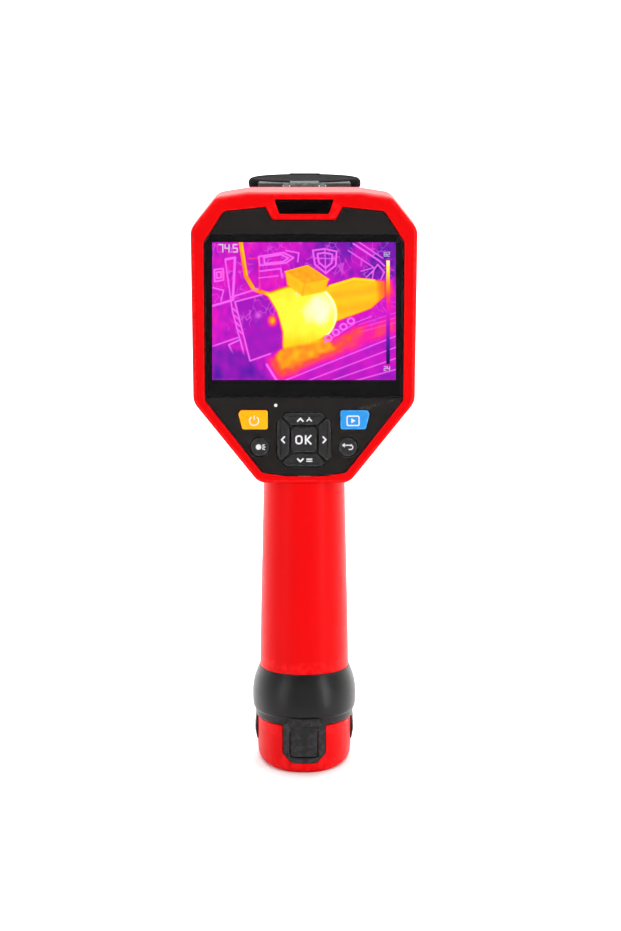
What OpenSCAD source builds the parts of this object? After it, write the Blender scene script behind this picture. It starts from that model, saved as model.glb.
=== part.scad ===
// Pistol-grip thermal imaging camera with a 3.5 inch display, a keypad, a flip-up lens cover
// and a slide-out battery foot. Millimetres. +Z is up, the user looks along +Y at the display,
// and the lens looks along +Y. The origin is the middle of the tripod socket's mouth, on the
// plane that the foot stands on.

/* [Body] */
// Lean of the display back from upright, in degrees
tilt = 12; // [8:1:14]
// Lean of the grip's top towards the lens, in degrees
rake = 5; // [4:1:6]
// Height of the display's centre above the table
face_z = 178.5; // [177:0.5:180]
// Thickness of the moulded shells' walls
wall = 2.3; // [2:0.1:2.6]

/* [Display] */
// Width of the picture, for a 4:3 panel
picture_w = 70.8; // [66:0.1:71]
// How far the keys stand out of the keypad panel
key_proud = 0.9; // [0.6:0.1:1]

/* [Lens] */
// Outside radius of the lens barrel
barrel_r = 21.5; // [20.5:0.5:21.5]
// Height of the lens axis above the table
lens_z = 194.5; // [193:0.5:195]

/* [Battery] */
// Radius of the battery cell, 10.6 for the common 21 mm cell
cell_r = 10.6; // [9:0.1:10.7]
// Length of the battery cell
cell_l = 70; // [60:1:70]

/* [Hidden] */
$fn = 64;

red = "#e5141d";
black = "#232224";
board = "#1f5c34";
steel = "#b9bcc0";
gold = "#c9a24a";

face_y = 1;             // the display's centre, along Y
seam_h = 22;            // horizontal depth of the casing's seam behind the face
side_h = 22.8;          // depth of the straight sides, a little past the seam
front_y = 46;           // the front wall's outer face
camera_z = 164;         // height of the camera's and the torch's windows
face_wall = 4.2;        // thickness of the frame round the panel
arc_steps = 4;          // straight steps in each rounded corner
ring_n = 48;            // points round a grip section
grip_power = 2.2;       // superellipse exponent of the grip's section
gap = 0.25;             // clearance round keys

// ---------- points and lofts ----------
function unit(v) = v / norm(v);
function mix(a, b, f) = a + (b - a) * f;
function mirrored(p) = concat(p, [for (i = [len(p) - 1 : -1 : 0]) [-p[i][0], p[i][1], p[i][2]]]);

// A clockwise outline moved inwards by d. Each corner is [x, z, radius].
function inset(p, d) = [
    for (i = [0 : len(p) - 1])
        let (n = len(p), a = p[(i + n - 1) % n], b = p[i], c = p[(i + 1) % n],
             u = unit([b[0] - a[0], b[1] - a[1]]), v = unit([c[0] - b[0], c[1] - b[1]]),
             nu = [u[1], -u[0]], nv = [v[1], -v[0]], q = (nu + nv) * d / (1 + nu * nv))
        [b[0] + q[0], b[1] + q[1], max(b[2] - d, 0.4)]
];

// An outline's corners turned into arcs.
function rounded(p, steps = arc_steps) = [
    for (i = [0 : len(p) - 1])
        let (n = len(p), b = [p[i][0], p[i][1]], r = p[i][2],
             a = p[(i + n - 1) % n], c = p[(i + 1) % n],
             u = unit([a[0], a[1]] - b), v = unit([c[0], c[1]] - b),
             half = acos(u * v) / 2, centre = b + unit(u + v) * r / sin(half),
             w = b + u * r / tan(half) - centre,
             turn = (180 - 2 * half) * sign(u[1] * v[0] - u[0] * v[1]))
        for (k = [0 : steps])
            let (t = turn * k / steps)
            centre + [w[0] * cos(t) - w[1] * sin(t), w[0] * sin(t) + w[1] * cos(t)]
];

// A closed solid through sections of equally many points.
module skin(sections) {
    n = len(sections[0]);
    last = len(sections) - 1;
    sides = [
        for (i = [0 : last - 1], j = [0 : n - 1])
            let (a = i * n + j, b = i * n + (j + 1) % n)
            each [[a, a + n, b + n], [a, b + n, b]]
    ];
    foot = [for (j = [0 : n - 1]) j];
    top = [for (j = [n - 1 : -1 : 0]) last * n + j];
    polyhedron([for (s = sections) each s], concat([foot], sides, [top]));
}

module face_frame() translate([0, face_y, face_z]) rotate([-tilt, 0, 0]) children();
module grip_frame() rotate([-rake, 0, 0]) children();
module lens_frame() translate([0, 0, lens_z]) rotate([-90, 0, 0]) children();

// A plate between two depths behind the face, from a drawing seen from the user's side.
module plate(y0, y1) translate([0, y1, 0]) rotate([90, 0, 0]) linear_extrude(y1 - y0) children();

// A bar along X from a drawing in the plane of Y and Z.
module bar(width) rotate([90, 0, 90]) linear_extrude(width, center = true) children();

// ---------- the head ----------
head_corners = mirrored([
    [22, 45.7, 8], [34, 43.8, 5], [43.9, 31.3, 6], [42.8, -35.5, 7], [17.5, -66.6, 6]
]);
front_corners = mirrored([
    [15, 220.8, 6], [25, 218.6, 6], [31, 206, 8], [29.5, 182, 9], [13, 155.5, 6]
]);
panel_corners = mirrored([
    [15, 40, 1], [31, 38.4, 2.5], [38.6, 26.5, 2], [38.1, -34.4, 3], [16.1, -62.2, 2],
    [7, -63.5, 9]
]);
port_frame = mirrored([[16.2, 42.6, 0.5], [12.2, 35.2, 1.2]]);
port_window = mirrored([[11.5, 43, 0.4], [9.5, 37.4, 0.8]]);
port_flap = mirrored([[10.8, 42.1, 0.2], [9.35, 37.6, 0.6]]);
port_pin_at = [1.15, 42.1];

// Depth share and inward share of the sections between the seam and the front wall.
front_steps = [[0.3, 0.03], [0.55, 0.13], [0.75, 0.33], [0.9, 0.64], [0.97, 0.88]];

function face_points(d, h) = [
    for (p = rounded(inset(head_corners, d)))
        [p[0], face_y + h + p[1] * sin(tilt), face_z + p[1] * cos(tilt)]
];
function front_points(d) = [
    for (p = rounded(inset(front_corners, d))) [p[0], front_y - d, p[1]]
];
function front_sections(d) = let (a = face_points(d, side_h), b = front_points(d)) [
    for (s = front_steps)
        [for (i = [0 : len(a) - 1])
            [mix(a[i][0], b[i][0], s[1]), mix(a[i][1], b[i][1], s[0]), mix(a[i][2], b[i][2], s[1])]]
];

module head_outer() skin(concat(
    [face_points(1.6, 0), face_points(0.8, 0.3), face_points(0.2, 1.1), face_points(0, 2.4),
     face_points(0, side_h)],
    front_sections(0), [front_points(0)]
));

module head_cavity() skin(concat(
    [face_points(wall, face_wall / cos(tilt)), face_points(wall, side_h)],
    front_sections(wall), [front_points(wall)]
));

// The two sides of the seam, which follows the face in the head and the axis in the grip.
bend_z = (face_z * tan(tilt) - face_y - seam_h) / (tan(tilt) - tan(rake));
module seam_side(sign_y, back_off = 0) bar(200) polygon([
    [sign_y * 150, -30], [-30 * tan(rake) + back_off, -30],
    [bend_z * tan(rake) + back_off, bend_z],
    [bend_z * tan(rake) + (260 - bend_z) * tan(tilt) + back_off, 260], [sign_y * 150, 260]
]);

// ---------- the grip ----------
// Each section is [height, half width, half depth, middle along Y, share of the table's slope].
function oval(s, grow = 0) = [
    for (i = [0 : ring_n - 1])
        let (a = 360 * i / ring_n, e = 2 / grip_power,
             x = (s[1] + grow) * sign(cos(a)) * pow(abs(cos(a)), e),
             y = s[3] + (s[2] + grow) * sign(sin(a)) * pow(abs(sin(a)), e))
        [x, y, s[0] + s[4] * y * tan(rake)]
];
module ovals(list, grow = 0) skin([for (s = list) oval(s, grow)]);
module cup_wall(grow, high) ovals([
    [-5, cup_w - 0.3, cup_d - 0.3, cup_y, 0], [9, cup_w, cup_d, cup_y, 0],
    [high, cup_w, cup_d, cup_y, 0]
], grow);

grip_list = [
    [19, 16.3, 20.7, 0.4, 0], [36.5, 16.3, 20.7, 0.2, 0], [36.5, 17.6, 22, 0.2, 0],
    [60, 17.2, 21.6, 0.12, 0], [90, 16.5, 21, 0.12, 0], [112, 16.1, 20.6, 0.14, 0],
    [128, 16.1, 19.6, 1.4, 0], [150, 16, 15, 6, 0]
];
grip_cavity_list = [
    [18, 14.2, 18.6, 0.4, 0], [39, 14.4, 18.8, 0.2, 0], [60, 14.9, 19.3, 0.13, 0],
    [90, 14.2, 18.7, 0.13, 0], [112, 13.8, 18.3, 0.15, 0], [128, 13.8, 17.3, 1.4, 0],
    [151, 13.7, 12.7, 6, 0]
];
collar_list = [
    [17, 19.2, 26.1, 1.4, 0], [17.5, 19.5, 26.4, 1.4, 0], [19.5, 19.6, 26.5, 1.4, 0],
    [20.1, 20.2, 26.8, 1.3, 0], [21.6, 20.5, 26.9, 1.2, 0], [24, 20.6, 26.8, 1.1, 0],
    [26, 20.6, 26.5, 1, 0], [30.5, 20, 25.4, 0.7, 0], [34.5, 18.7, 23.4, 0.3, 0],
    [36.5, 17.9, 22.3, 0.2, 0]
];
cup_w = 18.8;
cup_d = 26.6;
cup_y = 1.4;
cup_list = [
    [0, 16.4, 24.4, cup_y, 1], [0.6, 17.5, 25.5, cup_y, 1], [2.2, 18.4, 26.3, cup_y, 1],
    [9, cup_w, cup_d, cup_y, 0.4], [16.7, cup_w, cup_d, cup_y, 0]
];

// Small posts behind the frame round the display carry the bracket's ears.
ears = [[38.9, 20], [-38.9, 20], [38.4, -26], [-38.4, -26]];

// Screws hold the front shell to posts in the rear shell: [x, z, depth of the head's seat].
screws = [[37, 204, 34], [-37, 204, 34], [36.3, 150, 24], [-36.3, 150, 24]];
grip_screw_z = 106;
module along_y(x, y, z) translate([x, y, z]) rotate([90, 0, 0]) children();

module casing_outer() {
    head_outer();
    grip_frame() ovals(grip_list);
}
module casing_cavity() {
    head_cavity();
    grip_frame() ovals(grip_cavity_list);
}
module seal_ring(d0, d1) intersection() {
    difference() {
        skin([face_points(d0, seam_h - 0.4), face_points(d0, seam_h + 0.4)]);
        skin([face_points(d1, seam_h - 1), face_points(d1, seam_h + 1)]);
    }
    translate([-60, -40, bend_z + 6]) cube([120, 120, 150]);
}

// The user-side shell: the frame round the display and the back half of the grip.
module rear_shell() color(red) difference() {
    union() {
        difference() {
            intersection() {
                union() casing_outer();
                seam_side(-1);
            }
            union() casing_cavity();
        }
        // posts for the four head screws, each webbed to the side wall
        intersection() {
            union() for (s = screws) hull() {
                along_y(s[0], s[2], s[1]) cylinder(r = 3.3, h = 17, $fn = 32);
                along_y(s[0] + sign(s[0]) * 4.3, s[2], s[1]) cylinder(r = 1.5, h = 17, $fn = 32);
            }
            head_outer();
            seam_side(-1);
        }
        grip_frame() intersection() {
            along_y(0, 0, grip_screw_z) cylinder(r = 3.3, h = 22);
            ovals(grip_list, -0.5);
        }
        face_frame() for (at = ears) plate(3.5, 5.8) translate(at) circle(r = 1.5);
    }
    face_frame() {
        for (at = ears) plate(3.8, 6) translate(at) circle(r = 0.85);
        plate(-2, 3) difference() {
            polygon(rounded(inset(panel_corners, -0.15)));
            polygon(rounded(port_frame));
        }
        plate(2, 5) difference() {
            polygon(rounded(inset(panel_corners, 0.9)));
            polygon(rounded(inset(port_frame, -0.4)));
        }
        plate(2.9, 5) translate([-lcd_w / 2 - 0.3, -lcd_h / 2 - 0.9])
            square([lcd_w + 0.6, lcd_h + 0.6]);
        translate([0, port_pin_at[0], port_pin_at[1]]) rotate([0, 90, 0])
            cylinder(r = 0.4, h = 23.8, center = true);
        plate(-2, 6) polygon(rounded(port_window));
    }
    for (s = screws) along_y(s[0], s[2] + 1, s[1]) cylinder(r = 1.5, h = 17);
    grip_frame() along_y(0, 1, grip_screw_z) cylinder(r = 1.5, h = 15);
    seal_ring(0.7, 1.6);
}

// The target-side shell: it carries the lens, the torch, the camera and the trigger.
module front_shell() color(red) difference() {
    union() {
        difference() {
            intersection() {
                union() {
                    casing_outer();
                    // the raised ring that the lens barrel stands in
                    lens_frame() translate([0, 0, 36]) cylinder(r1 = 27, r2 = 25, h = 11);
                }
                seam_side(1);
            }
            union() casing_cavity();
        }
        intersection() {
            union() for (s = screws) hull() {
                along_y(s[0], s[2] + 16, s[1]) cylinder(r = 4.4, h = 34, $fn = 32);
                along_y(s[0] + sign(s[0]) * 3, s[2] + 16, s[1]) cylinder(r = 2.6, h = 34, $fn = 32);
            }
            head_outer();
            seam_side(1);
        }
        grip_frame() intersection() {
            along_y(0, 24, grip_screw_z) cylinder(r = 4.6, h = 24);
            ovals(grip_list, -0.1);
        }
        // cheeks each side of the trigger, which hold its pin and its board
        intersection() {
            grip_frame() for (side = [-1, 1])
                translate([side * 9 - 1.5, 8.7, 127]) cube([3, 30, 17]);
            union() casing_outer();
            seam_side(1);
        }
    }
    for (s = screws) {
        along_y(s[0], s[2] + 40, s[1]) cylinder(r = 3.1, h = 40);
        along_y(s[0], s[2] + 1, s[1]) cylinder(r = 1.7, h = 26);
    }
    grip_frame() {
        along_y(0, 30, grip_screw_z) cylinder(r = 3.1, h = 16);
        along_y(0, 16, grip_screw_z) cylinder(r = 1.7, h = 20);
        translate([-7, 10, 110]) cube([14, 20, 26.2]);
        translate([0, trigger_pin_at[0], trigger_pin_at[1]]) rotate([0, 90, 0])
            cylinder(r = 1.5, h = 30, center = true);
    }
    lens_frame() translate([0, 0, 30]) cylinder(r = barrel_r + 0.15, h = 30);
    for (x = [-8, 8]) along_y(x, 60, camera_z) cylinder(r = 3.8, h = 30);
    seal_ring(0.7, 1.6);
}

module shell_seal() color("#111111") seal_ring(0.7, 1.6);

module screw() {
    cylinder(r = 2.9, h = 2);
    translate([0, 0, -15]) cylinder(r = 1.45, h = 15.5);
}
module screw_y(x, y, z) translate([x, y, z]) rotate([-90, 0, 0]) difference() {
    screw();
    translate([0, 0, 1]) cylinder(r = 1.1, h = 2, $fn = 6);
}
module shell_screws() color(steel) {
    for (s = screws) screw_y(s[0], s[2], s[1]);
    grip_frame() screw_y(0, 14, grip_screw_z);
    face_frame() for (at = ears) {
        plate(4, 6.8) translate(at) circle(r = 0.8);
        plate(6.8, 7.9) translate(at) circle(r = 1.7);
    }
}

// ---------- display and boards ----------
lcd_w = picture_w + 2.6;
lcd_h = picture_w * 3 / 4 + 3.8;
glass_low = -33.7;
glass_high = 30.1;

module panel_outline(d = 0) difference() {
    polygon(rounded(inset(panel_corners, d)));
    polygon(rounded(inset(port_frame, -0.2)));
}
module glass_outline(d) intersection() {
    polygon(rounded(inset(panel_corners, d)));
    translate([-50, glass_low + d]) square([100, glass_high - glass_low - 2 * d]);
}

module keypad_panel() color(black) face_frame() difference() {
    union() {
        plate(0.9, 3) panel_outline();
        for (at = [[-26.6, -36.6], [26.6, -36.6], [-11.8, -57], [11.8, -57]])
            plate(2.5, 6.2) translate(at) circle(r = 1.2);
    }
    plate(0, 2.2) glass_outline(0.5);
    plate(2, 4) translate([-lcd_w / 2 - 0.2, -lcd_h / 2 - 0.8]) square([lcd_w + 0.4, lcd_h + 0.4]);
    plate(0, 4) key_shapes(gap);
    plate(0, 4) translate(led_at) circle(r = 0.8);
}
module display_glass() color("#0b0b0d") face_frame() plate(0.8, 2.2) glass_outline(0.6);
module lcd_module() color("#15151a") face_frame()
    plate(2.3, 5.6) translate([-lcd_w / 2, -lcd_h / 2 - 0.6]) square([lcd_w, lcd_h]);
module lcd_bracket() color(steel) face_frame() difference() {
    union() {
        plate(5.8, 6.8) {
            translate([-37.5, -31]) square([75, 62]);
            for (at = ears) translate(at) circle(r = 1.9);
        }
        for (x = [-28, 28], z = [-28, 28]) plate(6.8, 9) translate([x, z]) circle(r = 2.2);
    }
    plate(5, 8) translate([-25, -22]) square([50, 44]);
    for (at = ears) plate(5, 8) translate(at) circle(r = 1.1);
}
module main_board() color(board) face_frame() plate(9, 10.6) {
    translate([-31, -33]) square([62, 66]);
    translate([-9, 32]) square([18, 5.3]);
}
module board_chips() color("#1a1a1c") face_frame() for (c = [
    [-16, 12, 14], [8, 14, 10], [20, -6, 8], [-4, -14, 12], [-22, -18, 7]
]) plate(10.6, 12.2) translate([c[0], c[1]]) square(c[2]);

// ---------- keys ----------
led_at = [-10.9, -36.3];
pad_at = [0, -49.5];
pad_w = 20.6;
ok_w = 9.7;
side_key_at = [19.6, -41.9];
round_key_at = [17, -52.4];
round_key_r = 3.6;

module soft_square(w, h, r, g = 0) polygon(rounded([
    [-w / 2 - g, h / 2 + g, r + g], [w / 2 + g, h / 2 + g, r + g],
    [w / 2 + g, -h / 2 - g, r + g], [-w / 2 - g, -h / 2 - g, r + g]
]));
module side_key_shape(side, g = 0) translate([side * side_key_at[0], side_key_at[1]])
    scale([side, 1]) polygon(rounded(inset([
        [-5.6, 3.7, 0.9], [4.9, 3.7, 0.9], [5.7, 2.2, 0.9], [4.2, -3.7, 0.9], [-5.6, -3.7, 0.9]
    ], -g)));
module arrow_shape(turn, g = 0) translate(pad_at) rotate(turn) polygon(rounded(inset([
    [-6.6, pad_w / 2, 2], [6.6, pad_w / 2, 2], [8.2, pad_w / 2 - 1.4, 0.7],
    [5, 5.7, 0.9], [-5, 5.7, 0.9], [-8.2, pad_w / 2 - 1.4, 0.7]
], -g)));
module round_key_shape(side, g = 0)
    translate([side * round_key_at[0], round_key_at[1]]) circle(r = round_key_r + g);
module ok_shape(g = 0) translate(pad_at) soft_square(ok_w, ok_w, 1.6, g);

module key_shapes(g) {
    for (side = [-1, 1]) {
        side_key_shape(side, g);
        round_key_shape(side, g);
    }
    for (turn = [0 : 90 : 270]) arrow_shape(turn, g);
    ok_shape(g);
}

// A key is its cap and a stub that meets its dome.
module key(at) face_frame() {
    plate(0.9 - key_proud, 4) children();
    plate(4, 4.6) translate(at) circle(r = 1.6);
}
module power_key() color("#ff9a12") key([-side_key_at[0], side_key_at[1]]) side_key_shape(-1);
module gallery_key() color("#2d92d0") key(side_key_at) side_key_shape(1);
module arrow_key(turn) color(black)
    key(pad_at + 8 * [-sin(turn), cos(turn)]) arrow_shape(turn);
module ok_key() color(black) key(pad_at) ok_shape();
module round_key(side) color(black)
    key([side * round_key_at[0], round_key_at[1]]) round_key_shape(side);

module key_board() color(board) face_frame() plate(6.2, 7.4) polygon([
    [-28, -35.5], [28, -35.5], [28, -42], [13.5, -59], [-13.5, -59], [-28, -42]
]);
module key_domes() color(steel) face_frame() for (at = concat(
    [side_key_at, [-side_key_at[0], side_key_at[1]], round_key_at,
     [-round_key_at[0], round_key_at[1]], pad_at],
    [for (turn = [0 : 90 : 270]) pad_at + 8 * [-sin(turn), cos(turn)]]
)) translate([at[0], 6.2, at[1]]) rotate([90, 0, 0]) cylinder(r1 = 2.2, r2 = 1.4, h = 0.7);
module status_led() color("#d8d8d0") face_frame() plate(0.95, 3.4) translate(led_at) circle(r = 0.65);

// ---------- the port above the display ----------
module port_cover() color(black) face_frame() {
    plate(0.45, 1.85) polygon(rounded(port_flap));
    plate(1.85, 2.6) polygon(rounded(inset(port_flap, 0.9)));
    // the hinge's knuckle, and the pin that turns in the frame
    translate([0, port_pin_at[0], port_pin_at[1]]) rotate([0, 90, 0]) {
        cylinder(r = 0.7, h = 21.6, center = true);
        cylinder(r = 0.35, h = 23.4, center = true);
    }
}
module usb_socket() color(steel) face_frame() difference() {
    plate(3.2, 10.2) translate([0, 40.3]) soft_square(9, 3.2, 1.3);
    plate(3, 9.4) translate([0, 40.3]) soft_square(8.4, 2.6, 1);
}
module port_board() color(board) face_frame() plate(4.6, 12) translate([-9, 37.4]) square([18, 1.2]);

// ---------- lens ----------
hinge_y = 58.3;
hinge_z = lens_z + 26.6;
lid_inner = 59;
lid_outer = 60.8;
lid_edge = 56.5;
cap_r = 23.6;

module ring(profile) lens_frame() rotate_extrude() polygon(profile);
module lens_barrel() color(black) {
    ring([
        [11.6, 41.2], [23.4, 41.2], [23.4, 42.7], [barrel_r, 42.7], [barrel_r, 57.7],
        [barrel_r - 0.8, 58.5], [18.9, 58.5], [17.4, 56.6], [17.4, 49.4], [11.6, 47]
    ]);
    // two lugs that hold the cover's pin
    for (x = [-7.4, 7.4]) difference() {
        translate([x, 0, 0]) bar(2.6) polygon(concat(
            [[48.4, lens_z + barrel_r - 3], [55.7, lens_z + barrel_r - 3], [55.7, lens_z + 23]],
            [for (a = [-90 : 15 : 120]) [hinge_y + 2.2 * cos(a), hinge_z + 2.2 * sin(a)]],
            [[52.5, hinge_z - 1], [48.4, lens_z + 22.5]]
        ));
        translate([0, hinge_y, hinge_z]) rotate([0, 90, 0]) cylinder(r = 1.2, h = 30, center = true);
    }
}
module front_lens() color("#4a4f63") lens_frame() intersection() {
    translate([0, 0, 49.6]) cylinder(r = 17.2, h = 5);
    translate([0, 0, 53.6 - 46]) sphere(r = 46, $fn = 96);
}
module lens_ring() color(black) difference() {
    ring([[15.2, 53.7], [17.2, 53.7], [17.2, 55.6], [15.8, 55.6]]);
    for (a = [0, 90]) lens_frame() rotate(a) translate([-20, -0.8, 54.6]) cube([40, 1.6, 3]);
}
module rear_lens() color("#4a4f63") ring([[0, 42.4], [11.4, 43], [11.4, 45.6], [0, 46.6]]);
module lens_seal() color("#0e0e0e") lens_frame() translate([0, 0, 42.8])
    difference() {
        cylinder(r = 23.2, h = 0.8);
        translate([0, 0, -1]) cylinder(r = barrel_r + 0.4, h = 3);
    }
module shutter_unit() color("#2c2c30") lens_frame() difference() {
    translate([-16, -16, 31]) cube([32, 32, 10.1]);
    translate([0, 0, 30]) cylinder(r = 11.7, h = 12);
}
module detector() color(gold) lens_frame() translate([-10, -10, 26.2]) cube([20, 20, 4.7]);
module detector_board() color(board) lens_frame() translate([-17, -17, 24.6]) cube([34, 34, 1.6]);
module cover_pin() color(steel)
    translate([0, hinge_y, hinge_z]) rotate([0, 90, 0]) cylinder(r = 1.2, h = 17.6, center = true);

// The cover is drawn shut over the barrel, then swung up about its pin to stand open.
module cover_shut() difference() {
    union() {
        ring([[0, lid_inner], [cap_r - 1.6, lid_inner], [cap_r - 1.6, lid_edge],
              [cap_r, lid_edge], [cap_r, lid_outer - 0.9], [cap_r - 0.9, lid_outer],
              [0, lid_outer]]);
        bar(11) polygon(concat(
            [[lid_inner, lens_z + 20], [lid_outer, lens_z + 20]],
            [for (a = [0 : 15 : 180]) [hinge_y + 2.5 * cos(a), hinge_z + 2.5 * sin(a)]],
            [[56.4, lens_z + 24], [57.2, lens_z + 23]]
        ));
        // the hinge leaf, a straight edge along the round lid
        translate([-19, 57.2, lens_z + 22.1]) cube([38, 3, 1.3]);
        translate([-19, lid_inner, lens_z + 12]) cube([38, 1.2, 10.5]);
        // finger tab on the side away from the pin
        bar(13) polygon([
            [57.4, lens_z - cap_r + 1], [57.4, lens_z - cap_r - 2.2], [58.2, lens_z - cap_r - 3],
            [59.8, lens_z - cap_r - 3], [lid_outer, lens_z - cap_r - 1.6],
            [lid_outer, lens_z - cap_r + 1]
        ]);
    }
    translate([0, hinge_y, hinge_z]) rotate([0, 90, 0]) cylinder(r = 1.25, h = 30, center = true);
    lens_frame() translate([0, 0, 50]) cylinder(r = cap_r - 1.6, h = lid_inner - 50);
}
module lens_cover() color(black) translate([0, hinge_y, hinge_z]) rotate([90, 0, 0])
    translate([0, -hinge_y, -hinge_z]) cover_shut();

module camera_module() color("#1b1b1e") {
    along_y(-8, 45.4, camera_z) cylinder(r = 3.7, h = 5);
    translate([-12.5, 36, camera_z - 4.5]) cube([9, 4.4, 9]);
}
module camera_window() color("#20242c") along_y(-8, 46.3, camera_z) cylinder(r = 3.7, h = 0.9);
module torch_led() color("#e8e4c8") {
    along_y(8, 45.4, camera_z) cylinder(r1 = 3.6, r2 = 2, h = 4.6);
    translate([4, 39.4, camera_z - 4]) cube([8, 1.4, 8]);
}
module torch_window() color("#f2f2f2") along_y(8, 46.3, camera_z) cylinder(r = 3.7, h = 0.9);

// ---------- trigger ----------
trigger_pin_at = [13.5, 138.2];
trigger_w = 13;
// the finger's hollow is an arc whose centre stands in front of the trigger
hollow_r = 21;
hollow_at = [45.2, 122.5];

module trigger() color(black) grip_frame() difference() {
    union() {
        bar(trigger_w) polygon(concat(
            [[16.4, 112.2], [24.4, 111.8]],
            [for (a = [207 : -6 : 153]) hollow_at + hollow_r * [cos(a), sin(a)]],
            [[24, 134.4], [22.6, 135.4], [16.4, 135.4]]
        ));
        bar(7) polygon([[10.4, 141.2], [16.6, 141.2], [19, 135.4], [19, 126], [14.6, 126],
                        [10.4, 134.4]]);
    }
    translate([0, trigger_pin_at[0], trigger_pin_at[1]]) rotate([0, 90, 0])
        cylinder(r = 1.55, h = 30, center = true);
}
module trigger_pin() color(steel) grip_frame()
    translate([0, trigger_pin_at[0], trigger_pin_at[1]]) rotate([0, 90, 0])
        cylinder(r = 1.5, h = 20.6, center = true);

// A coil spring swept along its helix.
spring_turns = 5;
spring_steps = 10;
module coil(r, wire, length) {
    n = spring_turns * spring_steps;
    skin([
        for (i = [0 : n])
            let (a = 360 * i / spring_steps, slope = atan(length / spring_turns / (2 * PI * r)),
                 c = [r * cos(a), r * sin(a), length * i / n], out = [cos(a), sin(a), 0],
                 up = [sin(a) * sin(slope), -cos(a) * sin(slope), cos(slope)])
            [for (k = [0 : 5]) c + wire * (out * cos(-60 * k) + up * sin(-60 * k))]
    ]);
}
module trigger_spring() color(steel) grip_frame()
    translate([0, 9, 118]) rotate([-90, 0, 0]) coil(2.6, 0.35, 7);
module trigger_switch() color("#26262a") grip_frame() {
    translate([-3, 8.6, 125]) cube([6, 2.3, 5]);
    along_y(0, 11.9, 127.5) cylinder(r = 1.3, h = 1.2);
}
module trigger_board() color(board) grip_frame() translate([-8, 7, 111.2]) cube([16, 1.6, 24.4]);

// ---------- grip end and battery ----------
stem_r = 12.4;
sleeve_in = 12.8;
tongue = mirrored([
    [6.2, 20.2, 0.5], [6.2, 18.4, 0.4], [8.2, 17.4, 0.5], [8.2, 5.8, 1.2], [4.9, 2.3, 1.5]
]);
tab_hole = mirrored([[5.4, 16.6, 0.5], [5.4, 4.6, 0.9]]);
latch_hole = mirrored([[5.6, 16.6, 0.6], [5.6, 6.8, 1.5]]);
latch_slot = mirrored([[5.9, 19, 0.6], [5.9, 6.5, 1.8]]);
tab_axis_z = 15.2;
tab_axis_y = -23.7;

// A drawing in X and Z, extruded through the back of the foot.
module back_prism() translate([0, -10, 0]) rotate([90, 0, 0]) linear_extrude(30) children();
// The same, through the side of the foot at +X or -X.
module side_prism(side) translate([side * 15.3, 0, 0]) rotate([90, 0, side * 90])
    linear_extrude(15) children();

module grip_collar() color(black) grip_frame() difference() {
    union() {
        ovals(collar_list);
        intersection() {
            back_prism() polygon(rounded(tongue));
            difference() {
                cup_wall(0.9, 20);
                cup_wall(-1.5, 17);
            }
        }
    }
    ovals([[2, 16.45, 20.85, 0.4, 0], [40, 16.45, 20.85, 0.2, 0]]);
    translate([-16, -21.5, 0]) cube([32, 43, 16.9]);
    back_prism() polygon(rounded(inset(tab_hole, -0.2)));
    // grooves for the tongues of the battery's latches, and pockets for the ends of the tab's pin
    for (side = [-1, 1]) translate([side * 17.25 - 1.3, -5.4, 10]) cube([2.6, 10.8, 15.6]);
    translate([0, tab_axis_y, tab_axis_z]) rotate([0, 90, 0]) cylinder(r = 0.52, h = 13.4, center = true);
}
module rear_tab() color(black) grip_frame() difference() {
    union() {
        intersection() {
            back_prism() polygon(rounded(tab_hole));
            difference() {
                cup_wall(0.45, 17);
                translate([-8, tab_axis_y - 0.5, 0]) cube([16, 20, 20]);
            }
        }
        translate([0, tab_axis_y, tab_axis_z]) rotate([0, 90, 0])
            cylinder(r = 1, h = 10.8, center = true);
    }
    translate([0, tab_axis_y, tab_axis_z]) rotate([0, 90, 0]) cylinder(r = 0.56, h = 16, center = true);
}
module tab_pin() color(steel) grip_frame()
    translate([0, tab_axis_y, tab_axis_z]) rotate([0, 90, 0]) cylinder(r = 0.5, h = 13, center = true);

module battery_sleeve() color("#3a3a3e") grip_frame() difference() {
    union() {
        translate([0, 0, 20]) cylinder(r = 13.7, h = 78.6);
        // fins that reach the shells' inner walls
        translate([-1, -18, 22]) cube([2, 36.2, 72]);
    }
    translate([0, 0, 19]) cylinder(r = sleeve_in, h = 78);
    translate([-4, -9, 90]) cube([8, 18, 10]);
}
module contact_block() color("#c8b878") grip_frame() {
    for (y = [-6, 0, 6]) translate([0, y, 96]) cylinder(r = 0.9, h = 3);
    translate([-7, -9, 98.6]) cube([14, 18, 1.6]);
}

module battery_cup() color(red) grip_frame() difference() {
    union() {
        difference() {
            ovals(cup_list);
            ovals([[3.2, 15.6, 21.6, cup_y, 0.6], [12.4, 15.6, 21.6, cup_y, 0]]);
        }
        rotate([rake, 0, 0]) translate([0, 0, 1]) cylinder(r = 7.4, h = 5);
        // seats for the latches' springs
        for (side = [-1, 1]) translate([side * 12.4 - 1, -3, 2.6]) cube([2, 6, 7.9]);
    }
    translate([0, 0, 10]) cylinder(r = stem_r, h = 20);
    // the notch that the collar's tongue lies in
    difference() {
        back_prism() polygon(rounded(inset(tongue, -0.3)));
        cup_wall(-2.7, 24);
    }
    for (side = [-1, 1]) {
        side_prism(side) polygon(rounded(latch_slot));
    }
    rotate([rake, 0, 0]) translate([0, 0, -1]) cylinder(r = 4.9, h = 12);
}
module battery_stem() color("#2a2a2c") grip_frame() difference() {
    union() {
        translate([0, 0, 11]) cylinder(r = stem_r, h = 83);
        // a foot that is trapped under the cup's top
        translate([0, 0, 10.6]) cylinder(r = 13.3, h = 1.7);
    }
    translate([0, 0, 18]) cylinder(r = cell_r + 0.3, h = 72.4);
    for (y = [-6, 0, 6]) translate([0, y, 88]) cylinder(r = 1.9, h = 7);
}
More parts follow.
